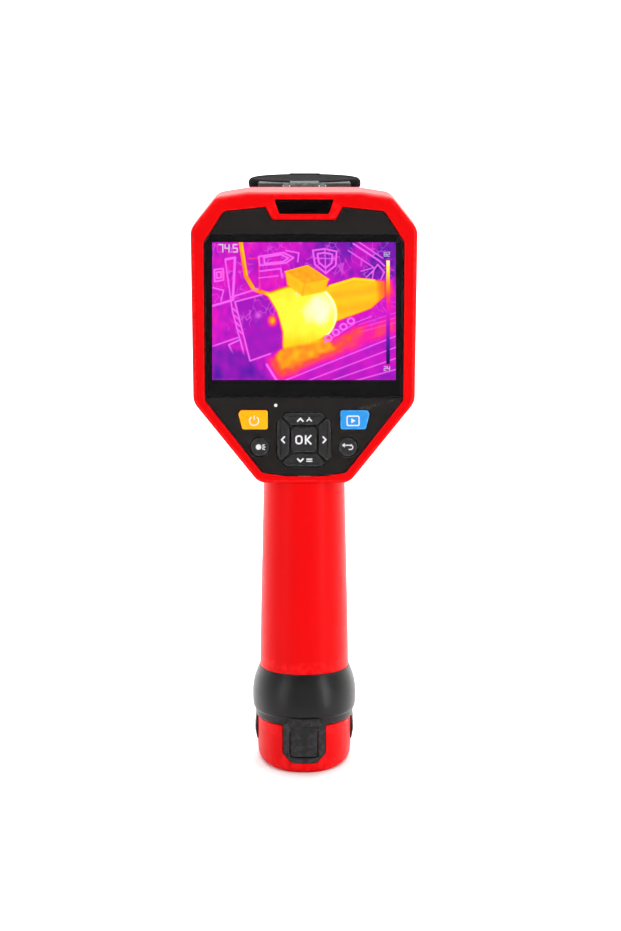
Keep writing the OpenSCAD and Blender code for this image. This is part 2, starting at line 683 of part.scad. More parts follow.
module battery_cell() color("#3566a8") grip_frame() translate([0, 0, 18.8]) cylinder(r = cell_r, h = cell_l);
module battery_contacts() color(gold) grip_frame()
    for (y = [-6, 0, 6]) translate([0, y, 90.6]) cylinder(r = 1.6, h = 2.6);
module charge_board() color(board) grip_frame() translate([-11, -8, 8.4]) cube([22, 22, 1.4]);
module tripod_insert() color(gold) difference() {
    cylinder(r = 4.9, h = 5.9);
    translate([0, 0, -1]) cylinder(r = 2.6, h = 9);
}

// A latch is a finger pad in the cup's side with a tongue that reaches up into the collar.
module latch(side) color(black) grip_frame() {
    intersection() {
        side_prism(side) polygon(rounded(latch_hole));
        difference() {
            ovals([[-4, 17.9, 25.8, 2, 0], [7, 18.2, 26, 2, 0], [11, 18.8, 26.6, 2, 0],
                   [15, 18.6, 26.4, 2, 0], [18, 18.2, 26, 2, 0]], 1);
            ovals([[-5, 16.9, 24.6, 2, 0], [24, 16.9, 24.6, 2, 0]]);
        }
    }
    translate([side * 17.77 - 0.6, -5, 14]) cube([1.2, 10, 9.6]);
}
module latch_spring(side) color(steel) grip_frame()
    translate([side * 13.7, 0, 8.7]) rotate([0, side * 90, 0]) coil(1.6, 0.25, 2.9);

rear_shell();
front_shell();
shell_seal();
shell_screws();
keypad_panel();
display_glass();
lcd_module();
lcd_bracket();
main_board();
board_chips();
key_board();
key_domes();
status_led();
port_board();
usb_socket();
port_cover();
power_key();
gallery_key();
arrow_key(0);  // up_key
arrow_key(180);  // down_key
arrow_key(90);  // left_key
arrow_key(270);  // right_key
ok_key();
round_key(-1);  // light_key
round_key(1);  // back_key
lens_barrel();
front_lens();
lens_ring();
rear_lens();
lens_seal();
shutter_unit();
detector();
detector_board();
cover_pin();
lens_cover();
camera_module();
camera_window();
torch_led();
torch_window();
trigger();
trigger_pin();
trigger_spring();
trigger_switch();
trigger_board();
grip_collar();
battery_sleeve();
contact_block();
rear_tab();
tab_pin();
battery_cup();
battery_stem();
battery_cell();
battery_contacts();
charge_board();
tripod_insert();
latch(-1);  // latch_left
latch(1);  // latch_right
latch_spring(-1);  // latch_spring_left
latch_spring(1);  // latch_spring_right
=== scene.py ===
"""Looks of the pistol-grip thermal imaging camera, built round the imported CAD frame."""
from math import acos, copysign, cos, degrees, hypot, pi, radians, sin, sqrt, tan

import bmesh
import bpy
import numpy as np
from mathutils import Matrix, Vector

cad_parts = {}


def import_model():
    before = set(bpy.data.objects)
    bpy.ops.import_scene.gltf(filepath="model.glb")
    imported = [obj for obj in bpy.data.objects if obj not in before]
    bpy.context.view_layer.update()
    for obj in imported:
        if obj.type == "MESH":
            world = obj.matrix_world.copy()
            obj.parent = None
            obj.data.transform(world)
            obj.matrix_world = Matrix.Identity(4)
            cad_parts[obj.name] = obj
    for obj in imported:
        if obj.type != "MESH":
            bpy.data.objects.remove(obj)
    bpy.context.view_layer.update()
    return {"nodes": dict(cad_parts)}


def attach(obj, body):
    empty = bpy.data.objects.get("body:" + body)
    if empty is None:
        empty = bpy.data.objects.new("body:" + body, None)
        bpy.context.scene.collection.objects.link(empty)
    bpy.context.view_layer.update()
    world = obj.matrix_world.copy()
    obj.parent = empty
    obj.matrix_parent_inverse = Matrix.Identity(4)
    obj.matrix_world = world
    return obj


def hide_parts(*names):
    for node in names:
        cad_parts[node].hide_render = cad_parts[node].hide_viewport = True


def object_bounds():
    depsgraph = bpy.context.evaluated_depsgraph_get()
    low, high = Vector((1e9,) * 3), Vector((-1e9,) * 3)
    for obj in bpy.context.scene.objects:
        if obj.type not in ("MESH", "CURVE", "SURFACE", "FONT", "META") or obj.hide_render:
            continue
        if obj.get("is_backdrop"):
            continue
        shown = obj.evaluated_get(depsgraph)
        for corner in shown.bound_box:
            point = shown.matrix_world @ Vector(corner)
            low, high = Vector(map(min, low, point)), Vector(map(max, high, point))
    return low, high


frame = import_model()

MM = 0.001
TILT = radians(12)          # the display's lean back
RAKE = radians(5)           # the grip's lean forward
CT, ST = cos(TILT), sin(TILT)
CR, SR = cos(RAKE), sin(RAKE)
FACE_Y, FACE_Z = 1, 178.5
LENS_Z, BARREL_R = 194.5, 21.5
SEAM_H, SIDE_H, FRONT_Y = 22, 22.8, 46
CAMERA_Z = 164
WALL, FACE_WALL = 2.3, 4.2
GRIP_POWER = 2.2
ARC = 10                         # steps in a rounded corner
RING = 144                       # points round a grip section
LEAST_ROUNDING = 0.4             # an inset corner keeps at least this radius
PICTURE_W = 70.8
PICTURE_H = PICTURE_W * 0.75


# ---------------------------------------------------------------- places
def world(x, y, z):
    return x, y, z


def face(x, depth, v):
    """Depth behind the display's face, and height v along it."""
    return x, FACE_Y + depth * CT + v * ST, FACE_Z - depth * ST + v * CT


def grip(x, y, z):
    return x, y * CR + z * SR, z * CR - y * SR


def lens(x, y, z):
    """Local z runs out along the lens's axis."""
    return x, z, LENS_Z - y


# ---------------------------------------------------------------- outlines, in mm
def mirrored(p):
    return p + [(-x, z, r) for x, z, r in reversed(p)]


def unit(x, y):
    n = hypot(x, y)
    return x / n, y / n


def inset(p, d):
    """A clockwise outline of [x, z, radius] corners moved inwards by d."""
    out = []
    for i, b in enumerate(p):
        a, c = p[i - 1], p[(i + 1) % len(p)]
        u, v = unit(b[0] - a[0], b[1] - a[1]), unit(c[0] - b[0], c[1] - b[1])
        nu, nv = (u[1], -u[0]), (v[1], -v[0])
        k = d / (1 + nu[0] * nv[0] + nu[1] * nv[1])
        radius = max(b[2] - d, min(b[2], LEAST_ROUNDING))
        out.append((b[0] + (nu[0] + nv[0]) * k, b[1] + (nu[1] + nv[1]) * k, radius))
    return out


def rounded(p, steps=ARC):
    """An outline's corners turned into arcs, as plain points."""
    out = []
    for i, (bx, bz, r) in enumerate(p):
        a, c = p[i - 1], p[(i + 1) % len(p)]
        u, v = unit(a[0] - bx, a[1] - bz), unit(c[0] - bx, c[1] - bz)
        half = acos(max(-1, min(1, u[0] * v[0] + u[1] * v[1]))) / 2
        m = unit(u[0] + v[0], u[1] + v[1])
        cx, cz = bx + m[0] * r / sin(half), bz + m[1] * r / sin(half)
        wx, wz = bx + u[0] * r / tan(half) - cx, bz + u[1] * r / tan(half) - cz
        turn = (pi - 2 * half) * (1 if u[1] * v[0] - u[0] * v[1] > 0 else -1)
        for k in range(steps + 1):
            t = turn * k / steps
            out.append((cx + wx * cos(t) - wz * sin(t),
                        cz + wx * sin(t) + wz * cos(t)))
    return out


def turned(p, angle, at=(0, 0)):
    c, s = cos(radians(angle)), sin(radians(angle))
    return [(at[0] + x * c - z * s, at[1] + x * s + z * c, *rest) for x, z, *rest in p]


def moved(p, at, mirror=False):
    if mirror:
        return [(at[0] - x, at[1] + z, *rest) for x, z, *rest in reversed(p)]
    return [(at[0] + x, at[1] + z, *rest) for x, z, *rest in p]


def soft_box(w, h, r, at=(0, 0)):
    return moved([(-w / 2, h / 2, r), (w / 2, h / 2, r), (w / 2, -h / 2, r), (-w / 2, -h / 2, r)], at)


def circle(at, r, n=32):
    """An anticlockwise circle as plain points."""
    return [(at[0] + r * cos(2 * pi * k / n), at[1] + r * sin(2 * pi * k / n)) for k in range(n)]


def sweep_angles(steps):
    """The angles of a quarter turn in even steps."""
    return [pi / 2 * k / steps for k in range(steps + 1)]


def box(w, h, at=(0, 0)):
    """A rectangle of half width w and half height h as plain points."""
    return [(at[0] + i * w, at[1] + j * h) for i, j in ((-1, -1), (1, -1), (1, 1), (-1, 1))]


def disc(r, at=(0, 0), n=48):
    """A clockwise circle as plain points."""
    return [(at[0] + r * cos(-2 * pi * k / n), at[1] + r * sin(-2 * pi * k / n))
            for k in range(n)]


def smooth(rows, steps):
    """Monotone cubic through rows whose first value rises, one extra row per step."""
    rows = [tuple(map(float, r)) for r in rows]
    x = [r[0] for r in rows]
    width = len(rows[0])
    slopes = [[0.0] * width for _ in rows]
    for k in range(1, width):
        d = [(rows[i + 1][k] - rows[i][k]) / (x[i + 1] - x[i]) for i in range(len(rows) - 1)]
        for i in range(len(rows)):
            if i in (0, len(rows) - 1):
                slopes[i][k] = d[0] if i == 0 else d[-1]
            elif d[i - 1] * d[i] > 0:
                slopes[i][k] = 2 * d[i - 1] * d[i] / (d[i - 1] + d[i])
    out = []
    for i in range(len(rows) - 1):
        h = x[i + 1] - x[i]
        for s in range(steps):
            t = s / steps
            row = [x[i] + h * t]
            for k in range(1, width):
                a, b = rows[i][k], rows[i + 1][k]
                row.append((1 + 2 * t) * (1 - t) ** 2 * a + t * (1 - t) ** 2 * h * slopes[i][k]
                           + t * t * (3 - 2 * t) * b + t * t * (t - 1) * h * slopes[i + 1][k])
            out.append(tuple(row))
    return out + [rows[-1]]


# ---------------------------------------------------------------- solids
def raw(name, verts, faces, place=world):
    """An object from points in mm, with its faces turned outwards."""
    mesh = bpy.data.meshes.new(name)
    mesh.from_pydata([Vector(place(*v)) * MM for v in verts], [], faces)
    bm = bmesh.new()
    bm.from_mesh(mesh)
    bmesh.ops.remove_doubles(bm, verts=bm.verts, dist=1e-7)
    bmesh.ops.recalc_face_normals(bm, faces=bm.faces)
    bm.to_mesh(mesh)
    bm.free()
    obj = bpy.data.objects.new(name, mesh)
    bpy.context.scene.collection.objects.link(obj)
    return obj


def loft(sections, place=world, ring=False):
    """A closed solid through sections of equally many points, or a closed ring of them."""
    n, last = len(sections[0]), len(sections) - 1
    verts = [p for s in sections for p in s]
    rows = range(len(sections)) if ring else range(last)
    faces = [(i * n + j, i * n + (j + 1) % n,
              (i + 1) % len(sections) * n + (j + 1) % n, (i + 1) % len(sections) * n + j)
             for i in rows for j in range(n)]
    if not ring:
        faces += [tuple(range(n)), tuple(range(last * n, last * n + n))]
    return raw("part", verts, faces, place)


def edge(front, r, steps=5):
    """(depth, inset) steps of a quarter-round that starts on the front surface."""
    return [(front + r * (1 - cos(pi / 2 * k / steps)),
             r * (1 - sin(pi / 2 * k / steps))) for k in range(steps + 1)]


def plate(corners, profile, place=face, steps=ARC):
    """An outline carried through (depth, inset) steps."""
    return loft([[(x, depth, z) for x, z in rounded(inset(corners, d), steps)] for depth, d in profile],
                place)


def hole(corners, front, r, back):
    """A cutter whose mouth leaves a rounded edge on a flat front surface."""
    profile = [(front - 1.5, -r)] + [(d, -i) for d, i in edge(front, r)] + [(back, 0)]
    return plate(corners, profile)


def post(r, at, y0, y1, place=face, flare=0.0):
    """A round bar along local y, with an optional rounded mouth at y0."""
    steps = [(y0 - 1.5, r + flare)] + [(d, r + i) for d, i in edge(y0, flare)] if flare else [(y0, r)]
    return stack([(q, y) for y, q in steps + [(y1, r)]], at, 48, place)


def stack(rings, at, n, place=face):
    """A round solid along local y from (radius, y) rings."""
    return loft([[(x, y, z) for x, z in disc(r, at, n)] for r, y in rings], place)


def column(points, levels, place=grip):
    """A bar along local z from an outline in x and y."""
    return loft([[(x, y, z) for x, y in points] for z in levels], place)


def prism_x(points, half, place=world, middle=0):
    """A bar along X from points in the plane of y and z."""
    return loft([[(middle + s * half, y, z) for y, z in points] for s in (-1, 1)], place)


def revolve(profile, place=lens, n=128, closed=False):
    """A turned solid from (radius, height) points."""
    sections = [[(r * cos(2 * pi * k / n), r * sin(2 * pi * k / n), h)
                 for k in range(n)] for r, h in profile]
    return loft(sections, place, ring=closed)


def turned_part(corners):
    """A turned solid from (radius, height, rounding) corners."""
    return revolve(rounded(corners, 4), closed=True)


def combine(obj, others, how):
    """Joins, cuts or intersects obj with the others, and removes them."""
    for o in others:
        m = obj.modifiers.new("cut", "BOOLEAN")
        m.operation, m.object, m.solver = how, o, "MANIFOLD"
    shape = bpy.data.meshes.new_from_object(obj.evaluated_get(bpy.context.evaluated_depsgraph_get()))
    obj.modifiers.clear()
    obj.data = shape
    for o in others:
        bpy.data.objects.remove(o)
    return obj


def cut(obj, *others):
    return combine(obj, others, "DIFFERENCE")


def join(obj, *others):
    return combine(obj, others, "UNION")


def common(obj, *others):
    return combine(obj, others, "INTERSECT")


def merge(name, *objs):
    """Several separate solids as one object."""
    bm = bmesh.new()
    for o in objs:
        bm.from_mesh(o.data)
        bpy.data.objects.remove(o)
    mesh = bpy.data.meshes.new(name)
    bm.to_mesh(mesh)
    bm.free()
    obj = bpy.data.objects.new(name, mesh)
    bpy.context.scene.collection.objects.link(obj)
    return obj


# ---------------------------------------------------------------- materials
def linear(r, g, b):
    return tuple(((c / 255 + 0.055) / 1.055) ** 2.4 if c > 10 else c / 255 / 12.92 for c in (r, g, b)) + (1,)


def shade(colour, k):
    return tuple(min(1, c * k) for c in colour[:3]) + (1,)


class Nodes:
    """A short hand for building one material's node tree."""

    def __init__(self, name):
        self.material = bpy.data.materials.new(name)
        self.material.use_nodes = True
        self.tree = self.material.node_tree
        self.shader = self.tree.nodes["Principled BSDF"]

    def add(self, kind, inputs=None, **settings):
        node = self.tree.nodes.new(kind)
        for k, v in settings.items():
            setattr(node, k, v)
        for k, v in (inputs or {}).items():
            self.set(node, k, v)
        return node

    def set(self, node, key, value):
        if isinstance(value, bpy.types.NodeSocket):
            self.tree.links.new(value, node.inputs[key])
        else:
            node.inputs[key].default_value = value

    def noise(self, size, detail=3.0, roughness=0.55):
        """Noise whose features are about size mm across."""
        node = self.add("ShaderNodeTexNoise", {"Scale": 1 / (size * MM), "Detail": detail,
                                               "Roughness": roughness})
        self.set(node, "Vector", self.place())
        return node.outputs["Fac"]

    def place(self):
        if not hasattr(self, "coords"):
            self.coords = self.add("ShaderNodeTexCoord")
        return self.coords.outputs["Object"]

    def range(self, value, low, high, to_low=0.0, to_high=1.0):
        node = self.add("ShaderNodeMapRange", {"Value": value, "From Min": low, "From Max": high,
                                               "To Min": to_low, "To Max": to_high})
        return node.outputs["Result"]

    def math(self, how, a, b=0.0):
        node = self.add("ShaderNodeMath", {0: a, 1: b}, operation=how)
        return node.outputs[0]

    def mix(self, factor, a, b):
        node = self.add("ShaderNodeMix", data_type="RGBA")
        self.set(node, 0, factor)
        self.set(node, 6, a)
        self.set(node, 7, b)
        return node.outputs[2]

    def attribute(self, name):
        return self.add("ShaderNodeAttribute", attribute_name=name).outputs["Fac"]

    def bump(self, height, depth):
        node = self.add("ShaderNodeBump", {"Height": height, "Distance": depth * MM, "Strength": 1.0})
        self.set(self.shader, "Normal", node.outputs["Normal"])


def finish_material(name, colour, rough=0.45, vary=0.07, grain=0.35, depth=0.02, wear=0.35,
                    worn=None, metal=0.0, coat=0.0, coat_rough=0.1, specular=0.5, rough_vary=0.1,
                    scratches=0.0):
    """Moulded, painted or turned surface: mottled colour, fine grain, rubbed edges."""
    n = Nodes(name)
    colour = linear(*colour)
    broad = n.noise(30, 2)
    fine = n.noise(grain, 4, 0.6)
    spots = n.noise(grain * 5, 3)
    body = n.mix(n.range(broad, 0.3, 0.7), shade(colour, 1 - vary), shade(colour, 1 + vary))
    body = n.mix(n.range(fine, 0.35, 0.65, 0, 0.35), body, shade(colour, 1 - 2 * vary))
    rub = n.math("MULTIPLY", n.attribute("edge"), n.range(spots, 0.42, 0.62))
    body = n.mix(n.math("MULTIPLY", rub, wear), body, linear(*worn) if worn else shade(colour, 1.5))
    n.set(n.shader, "Base Color", body)
    roughness = n.range(spots, 0.3, 0.7, rough - rough_vary, rough + rough_vary)
    if scratches:
        lines = n.add("ShaderNodeTexNoise", {"Scale": 1 / (6 * MM), "Detail": 6.0, "Distortion": 2.2})
        n.set(lines, "Vector", n.place())
        roughness = n.math("ADD", roughness, n.range(lines.outputs["Fac"], 0.5, 0.53, 0, scratches))
    n.set(n.shader, "Roughness", roughness)
    n.set(n.shader, "Metallic", metal)
    n.set(n.shader, "Coat Weight", coat)
    n.set(n.shader, "Coat Roughness", coat_rough)
    n.set(n.shader, "Specular IOR Level", specular)
    n.bump(fine, depth)
    return n.material


def picture_material():
    """The heat picture: an iron palette over the mesh's heat values, with the marks on top."""
    n = Nodes("Screen_Picture")
    ramp = n.add("ShaderNodeValToRGB")
    stops = [(0.0, (5, 2, 22)), (0.12, (28, 4, 100)), (0.24, (84, 6, 158)), (0.36, (150, 0, 176)),
             (0.48, (206, 0, 190)), (0.58, (240, 20, 140)), (0.66, (250, 70, 40)),
             (0.75, (255, 138, 0)), (0.86, (255, 205, 0)), (0.94, (255, 248, 60)),
             (1.0, (255, 255, 228))]
    band = ramp.color_ramp
    band.elements[0].position, band.elements[0].color = 0.0, linear(*stops[0][1])
    band.elements[-1].position, band.elements[-1].color = 1.0, linear(*stops[-1][1])
    for at, colour in stops[1:-1]:
        band.elements.new(at).color = linear(*colour)
    n.set(ramp, "Fac", n.attribute("warmth"))
    cells = n.noise(0.5, 2)
    colour = n.mix(n.range(cells, 0.3, 0.7, 0, 0.06), ramp.outputs["Color"], (0.02, 0, 0.1, 1))
    colour = n.mix(n.attribute("outline"), colour, linear(238, 98, 232))
    colour = n.mix(n.attribute("mark"), colour, linear(206, 202, 214))
    n.set(n.shader, "Base Color", n.mix(0.93, colour, (0.004, 0.004, 0.005, 1)))
    n.set(n.shader, "Emission Color", colour)
    n.set(n.shader, "Emission Strength", 1.1)
    n.set(n.shader, "Specular IOR Level", 0.08)
    n.set(n.shader, "Roughness", n.range(n.noise(9), 0.3, 0.7, 0.05, 0.12))
    n.bump(n.noise(0.6, 2), 0.0006)
    return n.material


M = {
    "red": finish_material("Red_Moulded_Plastic", (202, 0, 3), 0.36, 0.03, 0.4, 0.01, 0.25,
                           (255, 40, 44), rough_vary=0.03, specular=0.06),
    "panel": finish_material("Panel_Plastic", (24, 21, 20), 0.5, 0.025, 0.3, 0.012, 0.3,
                             (84, 82, 84), rough_vary=0.03, specular=0.1),
    "collar": finish_material("Collar_Plastic", (13, 12, 12), 0.34, 0.04, 0.35, 0.01, 0.3,
                              (70, 68, 72), rough_vary=0.03, specular=0.2),
    "key": finish_material("Key_Rubber_Black", (28, 27, 28), 0.5, 0.04, 0.3, 0.01, 0.4,
                           (84, 83, 86), rough_vary=0.04, specular=0.2),
    "orange": finish_material("Key_Rubber_Orange", (255, 158, 0), 0.42, 0.04, 0.3, 0.012, 0.3,
                              (255, 190, 70), rough_vary=0.04, specular=0.15),
    "blue": finish_material("Key_Rubber_Blue", (30, 132, 206), 0.42, 0.05, 0.3, 0.012, 0.3,
                            (120, 190, 236), rough_vary=0.04, specular=0.25),
    "rubber": finish_material("Cover_Rubber", (6, 5, 6), 0.75, 0.08, 0.25, 0.015, 0.3,
                              (30, 29, 31), specular=0.02),
    # the leaf's mid grey is partly its own grey and partly a painted highlight: it lightens the band where
    # the lit near wall of the cover shows
    "leaf": finish_material("Cover_Hinge_Leaf_Grey_With_Painted_Highlight", (66, 68, 66), 0.6, 0.05, 0.3, 0.01, 0.3,
                            (120, 122, 122), specular=0.1),
    "glass": finish_material("Black_Glass", (4, 4, 5), 0.06, 0.2, 0.8, 0.0004, 0.1,
                             (60, 60, 66), rough_vary=0.02, specular=0.1,
                             scratches=0.03),
    "barrel": finish_material("Barrel_Plastic", (26, 26, 28), 0.5, 0.06, 0.3, 0.01, 0.35,
                              (70, 70, 74), specular=0.15),
    "alloy": finish_material("Anodised_Ring", (52, 53, 58), 0.3, 0.1, 0.12, 0.004, 0.6,
                             (190, 190, 194), metal=0.85),
    "steel": finish_material("Bright_Steel", (186, 188, 192), 0.28, 0.07, 0.2, 0.004, 0.3,
                             (225, 225, 228), metal=1.0, scratches=0.15),
    "screw": finish_material("Zinc_Screw", (150, 152, 156), 0.34, 0.1, 0.2, 0.005, 0.4,
                             (214, 214, 216), metal=1.0, scratches=0.12),
    "brass": finish_material("Insert_Brass", (196, 152, 74), 0.3, 0.08, 0.2, 0.004, 0.4,
                             (232, 206, 140), metal=1.0, scratches=0.12),
    "gold": finish_material("Gold_Plate", (208, 166, 82), 0.25, 0.06, 0.3, 0.003, 0.3,
                            (240, 214, 150), metal=1.0),
    "board": finish_material("Circuit_Board", (22, 84, 48), 0.35, 0.18, 0.5, 0.01, 0.3,
                             (150, 170, 90), coat=0.3),
    "chip": finish_material("Chip_Package", (26, 26, 28), 0.5, 0.12, 0.15, 0.006, 0.3),
    "module": finish_material("Module_Plastic", (40, 40, 44), 0.5, 0.1, 0.3, 0.012, 0.3),
    "bay": finish_material("Bay_Plastic", (52, 52, 56), 0.55, 0.1, 0.4, 0.015, 0.3),
    "cell": finish_material("Cell_Wrap", (36, 92, 168), 0.25, 0.06, 0.6, 0.004, 0.3,
                            (150, 184, 220), coat=0.5),
    "seal": finish_material("Seal_Rubber", (18, 18, 19), 0.65, 0.15, 0.2, 0.01, 0.2),
    "trigger": finish_material("Trigger_Plastic", (34, 33, 35), 0.44, 0.1, 0.3, 0.014, 0.45,
                               (96, 95, 98)),
    "print": finish_material("Icon_Ink", (206, 206, 208), 0.55, 0.06, 0.2, 0.004, 0.0),
    "print_warm": finish_material("Icon_Ink_Warm", (226, 196, 178), 0.5, 0.05, 0.2, 0.004, 0.0),
    "lamp": finish_material("Lamp_Lens", (226, 224, 210), 0.2, 0.04, 0.5, 0.004, 0.0, coat=0.6),
    "lcd": finish_material("Display_Metal", (60, 61, 66), 0.4, 0.08, 0.3, 0.005, 0.3, metal=0.6),
}


def lens_material():
    """Coated germanium: dark mirror, violet in the middle and blue-green towards the rim."""
    n = Nodes("Coated_Germanium")
    facing = n.add("ShaderNodeLayerWeight", {"Blend": 0.35}).outputs["Facing"]
    clouds = n.noise(7, 2)
    tint = n.mix(n.range(clouds, 0.3, 0.7), linear(104, 70, 128), linear(70, 84, 138))
    tint = n.mix(facing, tint, linear(52, 120, 116))
    n.set(n.shader, "Base Color", n.mix(0.45, tint, linear(36, 34, 46)))
    n.set(n.shader, "Metallic", 1.0)
    n.set(n.shader, "Roughness", n.range(n.noise(2.5), 0.3, 0.7, 0.05, 0.1))
    n.set(n.shader, "Coat Weight", 0.6)
    n.set(n.shader, "Coat Roughness", 0.03)
    n.bump(n.noise(3), 0.0008)
    return n.material


def window_material(name, colour):
    """A small moulded window with rings pressed into its back."""
    n = Nodes(name)
    grain = n.noise(1.2, 2)
    n.set(n.shader, "Base Color", n.mix(n.range(grain, 0.3, 0.7), shade(colour, 0.85), shade(colour, 1.1)))
    n.set(n.shader, "Roughness", n.range(n.noise(3), 0.3, 0.7, 0.05, 0.12))
    n.set(n.shader, "Coat Weight", 0.35)
    n.set(n.shader, "Coat Roughness", 0.03)
    n.bump(grain, 0.002)
    return n.material


M["germanium"] = lens_material()
M["window_dark"] = window_material("Camera_Window_Glass", linear(12, 14, 22))
M["window_clear"] = window_material("Torch_Window_Glass", linear(150, 153, 152))
M["picture"] = picture_material()


# ---------------------------------------------------------------- finishing a piece
def mark_edges(mesh, limit=14, width=0.9):
    """Gives narrow faces on a bend the value 1, for the rubbed look of real edges."""
    bm = bmesh.new()
    bm.from_mesh(mesh)
    values = []
    for f in bm.faces:
        bend = max((e.calc_face_angle_signed(0.0) for e in f.edges if len(e.link_faces) == 2), default=0)
        small = 2 * f.calc_area() < width * MM * f.calc_perimeter()
        values.append(1.0 if small and degrees(bend) > limit else 0.0)
    bm.free()
    store = mesh.attributes.new("edge", "FLOAT", "FACE")
    store.data.foreach_set("value", values)


def piece(obj, name, body, slot, material, *nodes, angle=32):
    """Names, shades and dresses a finished solid, and makes it ride."""
    obj.name = obj.data.name = name
    mesh = obj.data
    mesh.shade_smooth()
    mesh.set_sharp_from_angle(angle=radians(angle))
    for old in [a for a in mesh.attributes if a.name == "edge"]:
        mesh.attributes.remove(old)
    mark_edges(mesh)
    mesh.materials.clear()
    mesh.materials.append(material)
    m = obj.modifiers.new("normals", "WEIGHTED_NORMAL")
    m.keep_sharp, m.weight = True, 60
    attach(obj, body)
    if nodes:
        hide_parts(*nodes)
    return obj


# ---------------------------------------------------------------- the casing
HEAD = mirrored([(22, 45.7, 8), (34, 43.8, 5), (43.9, 31.3, 6), (42.8, -35.5, 7), (17.5, -66.6, 6)])
FRONT = mirrored([(15, 220.8, 6), (25, 218.6, 6), (31, 206, 8), (29.5, 182, 9), (13, 155.5, 6)])
PANEL = mirrored([(15, 40, 1), (31, 38.4, 2.5), (38.6, 26.5, 2), (38.1, -34.4, 3),
                  (16.1, -62.2, 2), (7, -63.5, 9)])
PORT_FRAME = mirrored([(16.2, 42.6, 0.5), (12.2, 35.2, 1.2)])
PORT_WINDOW = mirrored([(11.5, 43, 0.4), (9.5, 37.4, 0.8)])
PORT_FLAP = mirrored([(10.8, 42.1, 0.2), (9.35, 37.6, 0.6)])
FRONT_SHARES = smooth([(0, 0), (0.3, 0.03), (0.55, 0.13), (0.75, 0.33), (0.9, 0.64), (0.97, 0.88),
                       (1, 1)], 4)
GRIP = [(19, 16.3, 20.7, 0.4), (36.5, 16.3, 20.7, 0.2), (36.6, 17.6, 22, 0.2), (60, 17.2, 21.6, 0.12),
        (90, 16.5, 21, 0.12), (112, 16.1, 20.6, 0.14), (128, 16.1, 19.6, 1.4), (150, 16, 15, 6)]
GRIP_CAVITY = [(18, 14.2, 18.6, 0.4), (39, 14.4, 18.8, 0.2), (60, 14.9, 19.3, 0.13),
               (90, 14.2, 18.7, 0.13), (112, 13.8, 18.3, 0.15), (128, 13.8, 17.3, 1.4),
               (151, 13.7, 12.7, 6)]
SCREWS = [(37, 204, 34), (-37, 204, 34), (36.3, 150, 24), (-36.3, 150, 24)]
BEND_Z = (FACE_Z * tan(TILT) - FACE_Y - SEAM_H) / (tan(TILT) - tan(RAKE))


def face_ring(d, h):
    return [(x, FACE_Y + h + v * ST, FACE_Z + v * CT) for x, v in rounded(inset(HEAD, d))]


def front_rings(d):
    a = face_ring(d, SIDE_H)
    b = [(x, FRONT_Y - d, z) for x, z in rounded(inset(FRONT, d))]
    return [[tuple(p[k] + (q[k] - p[k]) * share for k, share in ((0, s), (1, t), (2, s)))
             for p, q in zip(a, b)] for t, s in FRONT_SHARES]


def head_solid(d=0.0):
    near = [face_ring(1.6 * (1 - sin(t)), 2.4 * (1 - cos(t)))
            for t in sweep_angles(8)]
    if d:
        near = [face_ring(d, d)]
    return loft(near + front_rings(d))


def ovals(rows, grow=0.0):
    """Superellipse sections from (height, half width, half depth, middle) rows."""
    out = []
    for i, (z, w, d, middle, *rest) in enumerate(rows):
        ring, slope = [], rest[0] if rest else 0
        for k in range(RING):
            a = 2 * pi * k / RING
            c, s = cos(a), sin(a)
            x = (w + grow) * copysign(abs(c) ** (2 / GRIP_POWER), c)
            y = middle + (d + grow) * copysign(abs(s) ** (2 / GRIP_POWER), s)
            ring.append((x, y, z + slope * y * tan(RAKE)))
        out.append(ring)
    return out


def grip_solid(grow=0.0):
    return loft(ovals(GRIP[:2] + smooth(GRIP[2:], 5), grow), grip)


def seam_line(off):
    return [(-30 * tan(RAKE) + off, -30), (BEND_Z * tan(RAKE) + off, BEND_Z),
            (BEND_Z * tan(RAKE) + (260 - BEND_Z) * tan(TILT) + off, 260)]


def seam_side(sign, off=0.0):
    return prism_x([(sign * 150, -30)] + seam_line(off) + [(sign * 150, 260)], 100)


def seam_groove(deep=0.45, half=0.32):
    band = prism_x(seam_line(-half) + seam_line(half)[::-1], 100)
    return cut(band, join(head_solid(deep), grip_solid(-deep)))


def casing_cavity():
    head = loft([face_ring(WALL, FACE_WALL / CT)] + front_rings(WALL))
    return join(head, loft(ovals(GRIP_CAVITY), grip))


shell = cut(common(join(head_solid(), grip_solid()), seam_side(-1, -0.05)), seam_groove(),
            casing_cavity())
recess = hole(inset(PANEL, -0.15), 0, 0.35, 5)
keep = plate(PORT_FRAME, edge(0, 0.45) + [(6, 0)])
keep_low = plate(PORT_FRAME, [(-2, 0), (6, 0)])
recess = cut(recess, keep_low)
fill = cut(common(keep, loft([face_ring(1.7, 0), face_ring(1.7, 6)])),
           hole(PORT_WINDOW, 0, 0.35, 8))
shell = cut(shell, recess)
rear = join(shell, fill)
rear = cut(rear, hole(PORT_WINDOW, 0, 0.35, 8))
piece(rear, "Rear_Housing", "housing", "red_shell", M["red"], "rear_shell")

